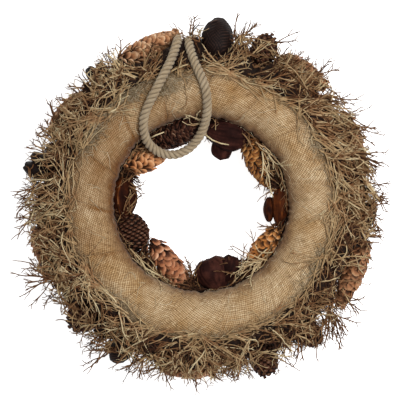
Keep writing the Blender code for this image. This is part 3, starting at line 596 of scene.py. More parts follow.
FACE_PIECES = (
    ("pine_cone", 12, 124, 20.0, 52, 45, 100, 0, 0),
    ("spruce_cone", 57, 127, 19.5, 64, 46, 152, 0, 10),
    ("pine_cone", 103, 122, 20.0, 50, 45, 188, 0, 0),
    ("smooth_pod", 147, 126, 19.8, 50, 46, 240, 0, 40),
    ("pine_cone", 192, 124, 20.0, 52, 45, 278, 0, 15),
    ("spruce_cone", 238, 126, 19.5, 66, 46, 330, 0, 10),
    ("fluted_pod", 283, 123, 19.5, 48, 42, 10, 0, 0),
    ("spruce_cone", 328, 126, 20.0, 62, 46, 60, 0, 20),
)


def ring_spot(angle, out, height):
    """A point by its angle round the ring in degrees, its distance from the ring's centre and its height."""
    turn = math.radians(angle)
    return Vector((RING_X + out * math.cos(turn), RING_Y + out * math.sin(turn), height))


def place_matrix(angle, out, height, heading, tilt, roll):
    """Turns a piece made along +Z, stem to tip, into its place on the ring."""
    return (Matrix.Translation(ring_spot(angle, out, height)) @ Matrix.Rotation(math.radians(heading), 4, "Z")
            @ Matrix.Rotation(math.radians(90 - tilt), 4, "Y") @ Matrix.Rotation(math.radians(roll), 4, "Z"))


placed, kind_counts = [], {}
for where, table in (("outer", OUTER_PIECES), ("inner", INNER_PIECES), ("face", FACE_PIECES)):
    for kind, angle, out, height, length, width, heading, tilt, roll in table:
        kind_counts[kind, where] = kind_counts.get((kind, where), 0) + 1
        node = f"{kind}_{where}_{kind_counts[kind, where]}"
        matrix = place_matrix(angle, out, height, heading, tilt, roll)
        placed.append((node, kind, where, length, width / 2, matrix))


# Spruce cones
# Closed cones of thin, rounded, overlapping woody plates in a spiral, orange-brown with paler rims. The
# plates warped as they dried, so cracks open between them. One is modelled and copied round a core, which
# is painted near black as the shade seen in the cracks.
GOLDEN_ANGLE = math.radians(137.508)


def take_shape():
    """The points and faces of the object at hand, which is removed."""
    made = bpy.context.object
    points = [point.co.copy() for point in made.data.vertices]
    faces = [tuple(face.vertices) for face in made.data.polygons]
    mesh = made.data
    bpy.data.objects.remove(made)
    bpy.data.meshes.remove(mesh)
    return points, faces


def ball_of(columns, rings):
    """The points and faces of a UV sphere of radius 1."""
    bpy.ops.object.select_all(action="DESELECT")
    bpy.ops.mesh.primitive_uv_sphere_add(segments=columns, ring_count=rings, radius=1)
    return take_shape()


def join_on(points, faces, tones, more_points, more_faces, more_tones):
    """Adds a shape's points, faces and tones to those of a piece."""
    first = len(points)
    points.extend(more_points)
    faces.extend(tuple(first + corner for corner in face) for face in more_faces)
    tones.extend(more_tones)


bpy.ops.object.select_all(action="DESELECT")
bpy.ops.mesh.primitive_grid_add(x_subdivisions=3, y_subdivisions=3, size=1)
plate = bpy.context.object
for point in plate.data.vertices:
    across, along = 2 * point.co.x, point.co.y + 0.5
    half = 0.26 + 0.30 * math.sin(math.pi * min(1, 0.08 + 0.72 * along))
    point.co.x = across * half
    point.co.y = along * (1 - 0.17 * across * across * along)
    point.co.z = 0.11 * (1 - across * across) * (0.4 + 0.6 * along) + 0.05 * math.sin(math.pi * along) - 0.02
plate_wall = plate.modifiers.new("wood", "SOLIDIFY")
plate_wall.thickness = 0.07
plate_wall.offset = -1
bpy.ops.object.modifier_apply(modifier="wood")
plate_points, plate_faces = take_shape()


def spruce_body(t):
    """Share of the cone's radius at a share of its length from the stem."""
    return math.sin(math.pi * min(1, 0.93 * t + 0.04)) ** 0.55 * (1 - 0.28 * t)


def core_of(length, radius, body, share):
    """A closed dark body under the scales, turned on a UV sphere."""
    ball, faces = ball_of(16, 12)
    points = []
    for spot in ball:
        t = 1 - math.acos(max(-1, min(1, spot.z))) / math.pi
        flat = math.hypot(spot.x, spot.y)
        reach = radius * share * body(t) if flat > 1e-4 else 0
        points.append(Vector((spot.x / max(flat, 1e-6) * reach, spot.y / max(flat, 1e-6) * reach,
                              length * (t - 0.5) * 0.96)))
    return points, faces


def spiral_places(length, radius, body, area, low, high):
    """Places on a cone by the golden angle, each with about the same area: share of the length and angle."""
    places, t = [], low
    while t < high:
        places.append((t, len(places) * GOLDEN_ANGLE))
        around = 2 * math.pi * radius * max(0.35, body(t))
        t += area / (around * length)
    return places


def slope_at(t, length, radius, body, most):
    """The angle between a cone's side and its axis at a share of its length."""
    ahead = (body(min(0.995, t + 0.02)) - body(max(0.005, t - 0.02))) * radius / (0.04 * length)
    return math.atan(max(-most, min(most, ahead)))


def scale_matrix(t, angle, length, radius, body, lean, yaw, width, tall, seat):
    """Turns a scale made flat, base to tip along +Y and outside up, onto the cone's side."""
    slope = slope_at(t, length, radius, body, 1.1)
    reach = radius * body(t) * seat
    out = Matrix.Translation((reach * math.cos(angle), reach * math.sin(angle), length * (t - 0.5)))
    face = Matrix.Rotation(angle - math.pi / 2, 4, "Z") @ Matrix.Rotation(math.pi / 2, 4, "X")
    turn = Matrix.Rotation(math.pi, 4, "Y")
    return (out @ face @ turn @ Matrix.Rotation(slope + lean, 4, "X") @ Matrix.Rotation(yaw, 4, "Z")
            @ Matrix.Diagonal((width, tall, tall, 1)))


# Spruce scale: dry woody plate, nearly dull, with fine lines, a bleached rim and a base painted dark as the
# shade under the plates above. Cones from different trees dried to amber, orange or greyish brown. Each has a
# name and its colours, base to rim.
SPRUCE_SHADES = {
    "spruce_cone_inner_1": ("amber", "#0E0703", "#3A2210", "#7C5026", "#A67A44", "#CBA775"),
    "spruce_cone_inner_2": ("orange", "#180D07", "#5F3B1A", "#BC8144", "#D8A368", "#E6C59C"),
    "spruce_cone_inner_3": ("russet", "#180C07", "#553424", "#A36E4E", "#C79473", "#DEB99B"),
    "spruce_cone_inner_4": ("orange_red", "#180C07", "#633E24", "#BC8557", "#DAA97C", "#E6C59F"),
    "other": ("brown", "#140B07", "#563924", "#9E7352", "#C09A76", "#DDC3A4"),
}
spruce_finishes = {}
for cone_name, (shade_name, *shades) in SPRUCE_SHADES.items():
    finish = new_material("dry_spruce_scale_" + shade_name)
    scale_stops = tuple(zip((0.10, 0.34, 0.58, 0.82, 1.0), shades))
    scale_place, scale_grain, scale_shades = grained(
        finish, {"Scale": 420.0, "Detail": 4.0, "Roughness": 0.65}, 0.38, scale_stops)
    scale_blush = add_node(finish, "TexNoise", {"Scale": 110.0, "Detail": 2.0}, {"Vector": scale_place})
    scale_warm = add_node(finish, "Mix", {**MULTIPLIED, 7: linear("#EBC4A2")},
                          {0: (scale_blush, "Fac"), 6: scale_shades})
    finish_off(finish, (scale_warm, 2), {"Roughness": 0.7, "Specular IOR Level": 0.2}, scale_grain, 0.45,
               0.0005)
    spruce_finishes[cone_name] = finish

# Area of one plate in mm2 for the cones round the hole, whose plates differ in the photograph
PLATE_AREAS = {"spruce_cone_inner_1": 30, "spruce_cone_inner_2": 46, "spruce_cone_inner_3": 50,
               "spruce_cone_inner_4": 42}
# How much paler or darker two of the cones at the rim are than the others
CONE_SHADES = {"spruce_cone_outer_3": -0.08, "spruce_cone_outer_7": 0.14}
for order, (node, kind, where, length, radius, matrix) in enumerate(placed):
    if kind != "spruce_cone":
        continue
    random.seed(300 + order)
    points, faces = core_of(length, radius, spruce_body, 0.80)
    # The core's tone is 0, near black: painted shade seen in the cracks between the plates
    tones = [0.0] * len(points)
    area = PLATE_AREAS.get(node, 36) if where != "face" else 70
    size = math.sqrt(area)
    for t, angle in spiral_places(length, radius, spruce_body, area, -0.02, 0.97):
        shrink = 0.70 + 0.30 * min(1, spruce_body(t) * 1.15)
        angle += random.gauss(0, 0.10)
        width = size * (1.36 if where == "inner" else 1.5) * shrink * random.uniform(0.8, 1.2)
        tall = size * (1.52 if where == "inner" else 1.68) * shrink * random.uniform(0.8, 1.2)
        lean = math.radians(random.uniform(3, 19) + 6 * t)
        yaw = math.radians(random.gauss(0, 14))
        shade = random.gauss(0.02, 0.10) + CONE_SHADES.get(node, 0)
        if random.random() < 0.04:
            continue
        turn = scale_matrix(t, angle, length, radius, spruce_body, lean, yaw, width, tall, 0.80)
        # Each plate is paler toward its bleached rim and painted dark toward its base, as the shade under the
        # plates above
        rims = [max(0.0, point.y, abs(point.x) * 1.6) for point in plate_points]
        join_on(points, faces, tones, [turn @ point for point in plate_points], plate_faces,
                [held(-0.20 + 0.88 * rim ** 1.5 + shade) for rim in rims])
    points = [matrix @ point for point in points]
    cone = lay_down(node + "_scales", points, faces, tones,
                    spruce_finishes.get(node, spruce_finishes["other"]))
    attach(cone, "root")
    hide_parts(node)


# Pine cones
# Small dark cones. Each scale ends in a thick knob with a paler point; on the cone at the top of the hole it
# ends in a wide thin lip. Both are modelled once and copied round a core painted near black, as the shade
# between the scales.
bpy.ops.object.select_all(action="DESELECT")
bpy.ops.mesh.primitive_cylinder_add(vertices=6, radius=1, depth=1, end_fill_type="NGON")
knob = bpy.context.object
bpy.ops.object.mode_set(mode="EDIT")
bpy.ops.mesh.select_all(action="DESELECT")
knob_edit = bmesh.from_edit_mesh(knob.data)
for face in knob_edit.faces:
    face.select_set(face.normal.z > 0.9)
bmesh.update_edit_mesh(knob.data)
for rise, narrow in ((0.22, 0.62), (0.03, 0.5), (0.16, 0.35)):
    bpy.ops.mesh.extrude_region_move(TRANSFORM_OT_translate={"value": (0, 0, rise)})
    bpy.ops.transform.resize(value=(narrow, narrow, 1))
bpy.ops.object.mode_set(mode="OBJECT")
knob_corners, knob_faces = take_shape()
# The knob's narrow foot is painted dark, as the shade under the knob; its point is paler
knob_points, knob_tones = [], []
for point in knob_corners:
    narrow = 0.45 if point.z < 0 else 1.0
    knob_points.append(Vector((point.x * 0.5 * narrow, point.y * 0.5 * narrow, point.z + 0.5)))
    knob_tones.append(0.0 if point.z < 0 else 0.30 if point.z < 0.6 else 0.55 if point.z < 0.76 else 0.85)


def pine_body(t):
    """Share of the cone's radius at a share of its length from the stem."""
    return math.sin(math.pi * (0.1 + 0.84 * t)) ** 0.6


# Pine scale: dark hard wood, nearly dull, its knobs and lips worn to grey-brown
pine_scale = new_material("dark_pine_scale")
_, pine_grain, pine_shades = grained(pine_scale, {"Scale": 500.0, "Detail": 3.0}, 0.3,
                                     ((0.12, "#0A0402"), (0.45, "#33170C"), (0.75, "#4E2F1F"),
                                      (1.0, "#856955")))
finish_off(pine_scale, pine_shades, {"Roughness": 0.75, "Specular IOR Level": 0.15}, pine_grain, 0.4, 0.0004)

for order, (node, kind, where, length, radius, matrix) in enumerate(placed):
    if kind != "pine_cone":
        continue
    random.seed(500 + order)
    points, faces = core_of(length, radius, pine_body, 0.78)
    # The core's tone is 0, near black: painted shade between the scales
    tones = [0.0] * len(points)
    lipped = node == "pine_cone_inner_1"
    area = 14 if lipped else {"inner": 27, "outer": 30, "face": 70}[where]
    size = math.sqrt(area)
    for t, angle in spiral_places(length, radius, pine_body, area, 0.02, 0.99):
        if lipped:
            shrink = 0.55 + 0.45 * min(1, pine_body(t) * 1.1)
            width = 5.4 * shrink * random.uniform(0.7, 1.3)
            tall = 4.6 * shrink * random.uniform(0.7, 1.3)
            lean = math.radians(random.uniform(6, 30))
            shade = random.gauss(-0.02, 0.16)
            yaw = math.radians(random.gauss(0, 34))
            turn = scale_matrix(t, angle, length, radius, pine_body, lean, yaw, width, tall, 0.80)
            rims = [max(0.0, point.y, abs(point.x) * 1.4) for point in plate_points]
            join_on(points, faces, tones, [turn @ point for point in plate_points], plate_faces,
                    [held(-0.10 + 0.72 * rim ** 2 + shade) for rim in rims])
            continue
        shrink = 0.62 + 0.38 * min(1, pine_body(t) * 1.1)
        width = size * (1.34 if where == "inner" else 1.16) * shrink * random.uniform(0.88, 1.12)
        tall = size * (0.66 if where == "inner" else 0.90) * shrink * random.uniform(0.88, 1.12)
        reach = radius * pine_body(t)
        lean = math.pi / 2 - slope_at(t, length, radius, pine_body, 1.6) - math.radians(12)
        turn = (Matrix.Rotation(angle, 4, "Z") @ Matrix.Translation((0, 0, length * (t - 0.5)))
                @ Matrix.Translation((reach * 0.70, 0, 0)) @ Matrix.Rotation(lean, 4, "Y")
                @ Matrix.Rotation(math.pi / 2, 4, "Z"))
        stand = max(1.2, reach * 0.20) * random.uniform(0.85, 1.2)
        shade = random.uniform(-0.1, 0.12)
        sized = [Vector((point.x * width, point.y * tall, point.z * stand * 1.15)) for point in knob_points]
        join_on(points, faces, tones, [turn @ point for point in sized], knob_faces,
                [held(tone + shade) for tone in knob_tones])
    points = [matrix @ point for point in points]
    cone = lay_down(node + "_scales", points, faces, tones, pine_scale)
    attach(cone, "root")
    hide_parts(node)


# Black domed pods
# Dry husks, almost black, with rounded flutes, fine ridges that run round them and a curled lip at the tip.
# Each is one hollow shell, glued to the ring by its stem end.
def husk(columns, rings):
    """A UV sphere's faces, and each point's share of the length, angle and whether it is a pole."""
    ball, faces = ball_of(columns, rings)
    places = []
    for spot in ball:
        t = 1 - math.acos(max(-1, min(1, spot.z))) / math.pi
        places.append((t, math.atan2(spot.x, spot.y), math.hypot(spot.x, spot.y) < 1e-4))
    return places, faces


# Black husk: dry and dull, the tops of its ridges worn to brown
black_husk = new_material("black_dry_husk")
_, husk_grain, husk_shades = grained(black_husk, {"Scale": 260.0, "Detail": 4.0, "Roughness": 0.65}, 0.45,
                                     ((0.15, "#050202"), (0.5, "#1B0F0C"), (0.8, "#3C281F"),
                                      (1.0, "#6A4F3E")))
finish_off(black_husk, husk_shades, {"Roughness": 0.66, "Specular IOR Level": 0.12}, husk_grain, 0.5, 0.0006)

for order, (node, kind, where, length, radius, matrix) in enumerate(placed):
    if kind != "fluted_pod":
        continue
    places, faces = husk(64, 56)
    points, tones = [], []
    for t, angle, pole in places:
        body = 0.0 if pole else math.sin(math.pi * (0.05 + 0.90 * t) ** 0.88) ** 0.60
        side, up = math.sin(angle), math.cos(angle)
        # The ridges are arcs about a point beside the stem, like the growth lines of a shell
        from_hinge = math.hypot(length * t + 4, radius * (body * side + 1.1))
        ridge = math.sin(2 * math.pi * from_hinge / 2.7 + 5.0 * uneven(side * 2, up * 2, 4 * t))
        lip = 0.13 * math.exp(-((t - 0.86) / 0.07) ** 2 - ((side - 0.5) / 0.5) ** 2)
        notch = -0.32 * math.exp(-((t - 0.93) / 0.06) ** 2 - ((side - 0.75) / 0.28) ** 2)
        rough = 0.09 * uneven(side * 1.4, up * 1.4, 3 * t + order)
        share = body * (0.98 + 0.018 * ridge + rough) + lip + notch * body
        reach = 0.0 if pole else max(0.2, radius * share)
        points.append(matrix @ Vector((-reach * up, reach * side, length * (t - 0.5))))
        tones.append(held(0.20 + 0.33 * ridge + 1.2 * lip))
    pod = lay_down(node + "_husk", points, faces, tones, black_husk)
    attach(pod, "root")
    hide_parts(node)


# Folded pods
# Dry seed husks of one or two shells. Each shell springs from a hinge, widens like a fan and has fine lines
# from hinge to rim. Those round the hole follow the photograph; the others are plain pairs of shells.
def valve_material(name, shades):
    """Dry husk, dull, with a fine grain and paler worn ridges."""
    valve = new_material(name)
    _, grain, colour = grained(valve, {"Scale": 200.0, "Detail": 5.0, "Roughness": 0.7}, 0.45, shades)
    finish_off(valve, colour, {"Roughness": 0.72, "Specular IOR Level": 0.04}, grain, 0.4, 0.0005)
    return valve


# The husks at the left and right of the hole are red-brown; the other two have weathered to a plum brown
red_husk = valve_material("red_brown_valve", ((0.12, "#0C0403"), (0.38, "#2B1209"), (0.62, "#4E250F"),
                                              (0.82, "#78421C"), (1.0, "#B48E6E")))
plum_husk = valve_material("plum_brown_valve", ((0.12, "#0C0505"), (0.38, "#2A1512"), (0.62, "#4B2A22"),
                                                (0.82, "#66443A"), (1.0, "#A58B7C")))

# Shells of the husks round the hole: middle in plan and height, heading, length, width, depth, where along it
# is widest, tone, how many lines it has, and the place across it of a pale ridge (0 for none)
HOLE_SHELLS = {
    "smooth_pod_inner_1": ((29.0, 71.5, 61, -10, 49, 36, 30, 0.56, 0.12, 26, 0.0),
                           (24.0, 56.5, 55, -78, 27, 23, 18, 0.55, 0.14, 18, 0.0)),
    "smooth_pod_inner_2": ((87.5, -8.2, 60, -93, 41, 20, 24, 0.40, 0.29, 18, 0.0),
                           (75.8, -10.5, 54, -92, 27, 13, 20, 0.45, 0.22, 14, 0.0)),
    "smooth_pod_inner_3": ((16.0, -82.0, 60, 112, 39, 41, 34, 0.62, 0.24, 20, 0.0),
                           (31.0, -75.5, 64, 70, 31, 23, 24, 0.62, 0.08, 16, 0.0)),
    "smooth_pod_inner_4": ((-82.6, 1.4, 60, 87, 47, 30, 22, 0.52, 0.20, 12, -0.36),),
}


def shell_of(middle, heading, length, width, depth, widest, tone, lines, ridge_at, seed):
    """A ribbed shell as a closed form, made in plan: its points, faces and tones."""
    places, faces = husk(120 if ridge_at else 56, 40)
    turn = Matrix.Translation(middle) @ Matrix.Rotation(math.radians(heading), 4, "Z")
    power = math.log(0.5) / math.log(widest)
    points, tones = [], []
    for t, angle, pole in places:
        body = 0.0 if pole else math.sin(math.pi * (0.02 + 0.95 * t) ** power) ** 0.5
        side, up = math.sin(angle), math.cos(angle)
        fine = math.sin(lines * angle + 3 * uneven(side * 2, up * 2, t * 2 + seed))
        swell = 0.13 * uneven(side * 1.3, up * 1.3, 2.2 * t + seed * 3.7)
        rim = 0.05 * math.sin(5 * angle + seed) * max(0.0, (t - 0.6) / 0.4)
        ridge, shaded = 0.0, 0.0
        if ridge_at:
            shaded = 0.06 if side > ridge_at else 0.0
            from_ridge = side - ridge_at * (0.6 + 0.4 * math.sin(math.pi * t))
            ridge = math.exp(-(from_ridge / 0.04) ** 2) if up > 0 else 0.0
        reach = body * (1 + swell + 0.011 * fine + 0.07 * ridge)
        along = length * (t - 0.5) * (1 + rim)
        points.append(turn @ Vector((along, -width / 2 * reach * side, depth / 2 * reach * up)))
        blush = 0.26 * uneven(side * 2.4, t * 3.0, seed + 8.0)
        blush += 0.14 * uneven(side * 9.0, t * 4.0, seed + 2.0)
        tones.append(held(tone + blush + 0.04 * fine + 0.46 * ridge - shaded))
    return points, faces, tones


for order, (node, kind, where, length, radius, matrix) in enumerate(placed):
    if kind != "smooth_pod":
        continue
    middle = matrix.translation
    ahead = matrix.to_3x3() @ Vector((0, 0, 1))
    course = math.degrees(math.atan2(ahead.y, ahead.x))
    across = Vector((-math.sin(math.radians(course)), math.cos(math.radians(course)), 0))
    if node in HOLE_SHELLS:
        shells = [(Vector((x, y, z)), *rest) for x, y, z, *rest in HOLE_SHELLS[node]]
    else:
        wide = radius * 1.25
        shells = [(middle + across * radius * 0.36, course + 5, length, wide, radius * 1.9,
                   0.56, 0.14, 18, 0.0),
                  (middle - across * radius * 0.40, course - 7, length * 0.94, wide * 0.92, radius * 1.8,
                   0.5, 0.2, 16, 0.0)]
    points, faces, tones = [], [], []
    for number, shell in enumerate(shells):
        join_on(points, faces, tones, *shell_of(*shell, order * 2.0 + number))
    husk_kind = black_husk
    if where == "inner":
        husk_kind = plum_husk if node in ("smooth_pod_inner_1", "smooth_pod_inner_3") else red_husk
    pod = lay_down(node + "_valve", points, faces, tones, husk_kind)
    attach(pod, "root")
    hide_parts(node)


# Twig sprays
# Dry heath-like brush glued in handfuls round the ring. Each handful is a few sprigs; each sprig is a fan of
# crooked stems 1 to 2 mm thick with stubs and forked ends, tan where the light reaches and dark inside.
SPRAY_COUNT = 16
SPRAY_ARC = 360 / SPRAY_COUNT
# The knot under the twigs, painted near black as the shade deep in the brush: the part of the tube's side
# that it covers, in degrees, how thick it is and how far above the tube it starts
OUTER_FLANK, KNOT_THICKNESS, KNOT_SEAT = (-66, 40), 26.0, 0.8
# The lowest and highest that a twig may run, and how far out: at the rim, and where nothing limits it
BRUSH_LOW, BRUSH_HIGH = 2, 104
RIM_LIMIT, NO_LIMIT = 219, 400
# The brush's top: its height over the cloth, where its fall to the rim starts and stops, and how steep
# that is
MAT_HEIGHT, MAT_SHOULDER, MAT_EDGE, MAT_FALL = 97.5, 126, 194, 0.0085
# How far to either side of the rope's centre line twigs stay under it, and how much air they leave it
ROPE_SHADOW, ROPE_GAP = 6.6, 2.5
# A twig grows in steps of about 4 mm, and the closest that it comes to the tube's surface is 1.5 mm
TWIG_STEP, TWIG_GAP = 4.0, 1.5
GOLDEN_SHARE = 0.618034
# How far most twigs and the longest ones reach from the ring's centre in each sixteenth, from the photograph
SPRAY_REACH = ((193, 203), (194, 212), (195, 206), (195, 205), (188, 198), (184, 193), (184, 194), (193, 201),
               (190, 213), (191, 214), (195, 219), (192, 204), (192, 203), (203, 213), (201, 211), (192, 198))
SPRIGS_PER_SPRAY = 30
# How much of each rim cone or pod the twigs leave in view, in the order of OUTER_PIECES
RIM_IN_VIEW = (0.95, 0.5, 0.05, 0.05, 0.25, 0.8, 0.5, 0.6, 0.15, 0.6, 0.75, 0.5, 0.65, 0.0, 0.2, 0.93)
# Share of each sixteenth's sprigs that lean clockwise round the ring
CLOCKWISE = (0.85, 0.85, 0.8, 0.55, 0.4, 0.5, 0.45, 0.35, 0.3, 0.6, 0.75, 0.6, 0.4, 0.35, 0.35, 0.5)
# How bleached each sixteenth's brush is
BRUSH_TONES = (0.10, 0.045, 0.035, 0.08, 0.115, 0.115, 0.115, 0.115, 0.115, 0.11, 0.09, 0.08, 0.08, 0.05,
               0.04, 0.08)
RIM_SPIKES = 10
KNOT_STEMS, STEM_STEP = 110, 3.6
# Forked sprigs that stand out past the rest in the photograph, and those beside the rope's legs: place in
# plan, course, length and number of stems
RIM_SPRIGS = (
    (121, 131, -5, 44, 3), (147, 106, -30, 27, 3), (166, 79, -35, 24, 5), (172, 52, -12, 24, 4),
    (183, 43, -50, 16, 5), (184, 12, -30, 20, 4), (106, 152, 75, 18, 1), (83, 170, 28, 20, 4),
    (38, 174, 55, 20, 3), (50, 178, 10, 14, 4), (-160, 69, 155, 17, 4), (-155, 87, 125, 18, 3),
    (-151, 88, 60, 38, 2), (-116, 129, 92, 20, 3), (-99, 148, 85, 16, 2), (-84, 158, 50, 16, 3),
    (-8, 182, 90, 12, 2), (-172, 54, 150, 12, 3), (-178, 12, 172, 22, 4), (-180, -3, 165, 20, 3),
    (-181, -25, 160, 22, 3), (-157, -86, 168, 42, 7), (-160, -89, -152, 30, 4), (-139, -116, 145, 24, 5),
    (-123, -133, 178, 32, 3), (-100, -165, -143, 32, 3), (-100, -158, -170, 24, 3), (-60, -174, -125, 24, 4),
    (42, -174, -100, 18, 4), (109, -154, -110, 22, 3), (140, -122, -80, 36, 9), (147, -126, -65, 28, 5),
    (163, -110, -35, 14, 4), (184, -39, 5, 12, 4), (186, -18, -65, 18, 3), (189, -5, 10, 12, 4),
    (-28, 140, 10, 20, 4), (-12, 142, 160, 20, 4), (-22, 150, -60, 16, 3), (-20, 138, 100, 18, 3),
    (-56, 138, 20, 20, 4), (-48, 146, -160, 22, 4), (-62, 134, 60, 20, 3), (-44, 152, -120, 18, 3),
)

# Twig bark: dull and rough, from near black through brown to bleached tan
twig_bark = new_material("dry_twig_bark")
bark_place, bark_grain, bark_colour = grained(
    twig_bark, {"Scale": 350.0, "Detail": 3.0, "Roughness": 0.6}, 0.3,
    ((0.14, "#130905"), (0.34, "#432716"), (0.54, "#7E5B3B"), (0.76, "#B4976F"), (1.0, "#D6C39C")))
# Some handfuls are greyer and greener than others, over 40 mm or so, and smaller patches are rust-brown
for scale, low, high, most, tint in ((22.0, 0.45, 0.7, 0.45, "#D6D9D2"), (75.0, 0.5, 0.68, 0.6, "#CFA78E")):
    bark_patches = add_node(twig_bark, "TexNoise", {"Scale": scale, "Detail": 1.0}, {"Vector": bark_place})
    bark_share = add_node(twig_bark, "MapRange",
                          {"From Min": low, "From Max": high, "To Min": 0.0, "To Max": most},
                          {"Value": (bark_patches, "Fac")})
    bark_tinted = add_node(twig_bark, "Mix", {**MULTIPLIED, 7: linear(tint)},
                           {0: (bark_share, "Result"), 6: bark_colour})
    bark_colour = (bark_tinted, 2)
finish_off(twig_bark, bark_colour, {"Roughness": 0.85, "Specular IOR Level": 0.2}, bark_grain, 0.4, 0.0004)

# Cones and pods that the brush grows round: the middle, the direction and the sizes of each
keep_out = []
for node, kind, where, length, radius, matrix in placed:
    ahead = (matrix.to_3x3() @ Vector((0, 0, 1))).normalized()
    keep_out.append((matrix.translation.copy(), ahead, length / 2, radius))


def near_pieces(angle, spread):
    """The cones and pods within some degrees of an angle round the ring."""
    near = []
    for piece in keep_out:
        own = math.degrees(math.atan2(piece[0].y - RING_Y, piece[0].x - RING_X))
        if abs((own - angle + 180) % 360 - 180) < spread:
            near.append(piece)
    return near


def blocked(point, near, margin):
    """The middle of the cone or pod that a point is inside, grown by a margin, or None."""
    for middle, along, half, radius in near:
        gap = point - middle
        run = gap.dot(along)
        if abs(run) > half + margin:
            continue
        side = (gap - along * run).length
        if (run / (half + margin)) ** 2 + (side / (radius + margin)) ** 2 < 1:
            return middle
    return None


def crossed_views(line):
    """How far each rim cone or pod that a twig's line passes over in plan has to stay in view."""
    crossed = []
    # keep_out starts with the rim's pieces, one for each share
    for in_view, (middle, along, half, radius) in zip(RIM_IN_VIEW, keep_out):
        flat = Vector((along.x, along.y, 0)).normalized()
        for point in line:
            gap = Vector((point.x - middle.x, point.y - middle.y, 0))
            run = gap.dot(flat)
            if abs(run) > half:
                continue
            side = (gap - flat * run).length
            if point.z > middle.z and (run / (half * 0.88)) ** 2 + (side / (radius * 0.88)) ** 2 < 1:
                crossed.append(in_view)
                break
    return crossed


def tube_reach(point):
    """Ring angle and angle round the tube, in degrees, reach from the tube's middle and from the ring's."""
    x, y = point.x - RING_X, point.y - RING_Y
    out = math.hypot(x, y)
    over, rise = out - RING_RADIUS, point.z - RING_HEIGHT
    return math.degrees(math.atan2(y, x)), math.degrees(math.atan2(rise, over)), math.hypot(over, rise), out


def under_rope(point):
    """The height that a twig may reach below the rope's legs, or None where the rope is elsewhere."""
    for spot in rope_fine[10:-10:3]:
        if math.hypot(spot.x - point.x, spot.y - point.y) < ROPE_SHADOW:
            return spot.z - ROPE_RADIUS - ROPE_GAP
    return None


def mat_top(out):
    """Height of the brush's top at a distance from the ring's centre."""
    return MAT_HEIGHT - MAT_FALL * max(0.0, min(out, MAT_EDGE) - MAT_SHOULDER) ** 2


def ring_ways(angle):
    """The directions outward from the ring's centre and along the ring, at an angle round it in degrees."""
    turn = math.radians(angle)
    return Vector((math.cos(turn), math.sin(turn), 0)), Vector((-math.sin(turn), math.cos(turn), 0))


def scatter(side, rise):
    """A random offset or direction, as a rule wider across than up."""
    return Vector((random.gauss(0, side), random.gauss(0, side), random.gauss(0, rise)))


def grow_twig(start, heading, length, limit, near, free):
    """A crooked, bowed line. It slides off the burlap, cones and pods, and ends at its limit."""
    line = [start]
    heading = heading.normalized()
    sway = scatter(1, 0.5) * 0.045
    for _ in range(max(3, round(length / TWIG_STEP))):
        kink = scatter(1, 0.6)
        heading = (heading + sway + kink * (0.34 if random.random() < 0.13 else 0.08)).normalized()
        goal = line[-1] + heading * random.uniform(3.3, 4.7)
        angle, around, reach, out = tube_reach(goal)
        top = mat_top(out) + (9 if free else 0)
        if goal.z > top:
            goal.z = top - random.uniform(0, 1.5)
            heading.z = min(heading.z, -0.15)
        ceiling = under_rope(goal) if 60 < angle < 140 else None
        if ceiling is not None and goal.z > ceiling:
            goal.z = ceiling
            if tube_reach(goal)[2] < TUBE_RADIUS + 1:
                break
        if reach < TUBE_RADIUS + TWIG_GAP:
            middle = ring_point(angle, 0, 0)
            push = (goal - middle).normalized()
            goal = middle + push * (TUBE_RADIUS + TWIG_GAP + random.uniform(0, 1.2))
            heading = (heading + push * 0.35).normalized()
        inside = blocked(goal, near, 0.8)
        if inside is not None:
            away = goal - inside
            away.z = abs(away.z) + 3.0
            goal = goal + away.normalized() * 4
            if blocked(goal, near, 0.5) is not None:
                break
        if out > limit or not BRUSH_LOW <= goal.z <= BRUSH_HIGH:
            break
        line.append(goal)
    return line


def tone_by_reach(tone, out):
    """A twig's tone at a distance from the ring's centre: pale over the cloth, dark past the rim and over the
    hole.
    """
    if 108 < out < 146:
        tone = max(tone, 0.55)
    elif out < 72 or out > 192:
        tone = min(tone, 0.32)
    return held(tone)


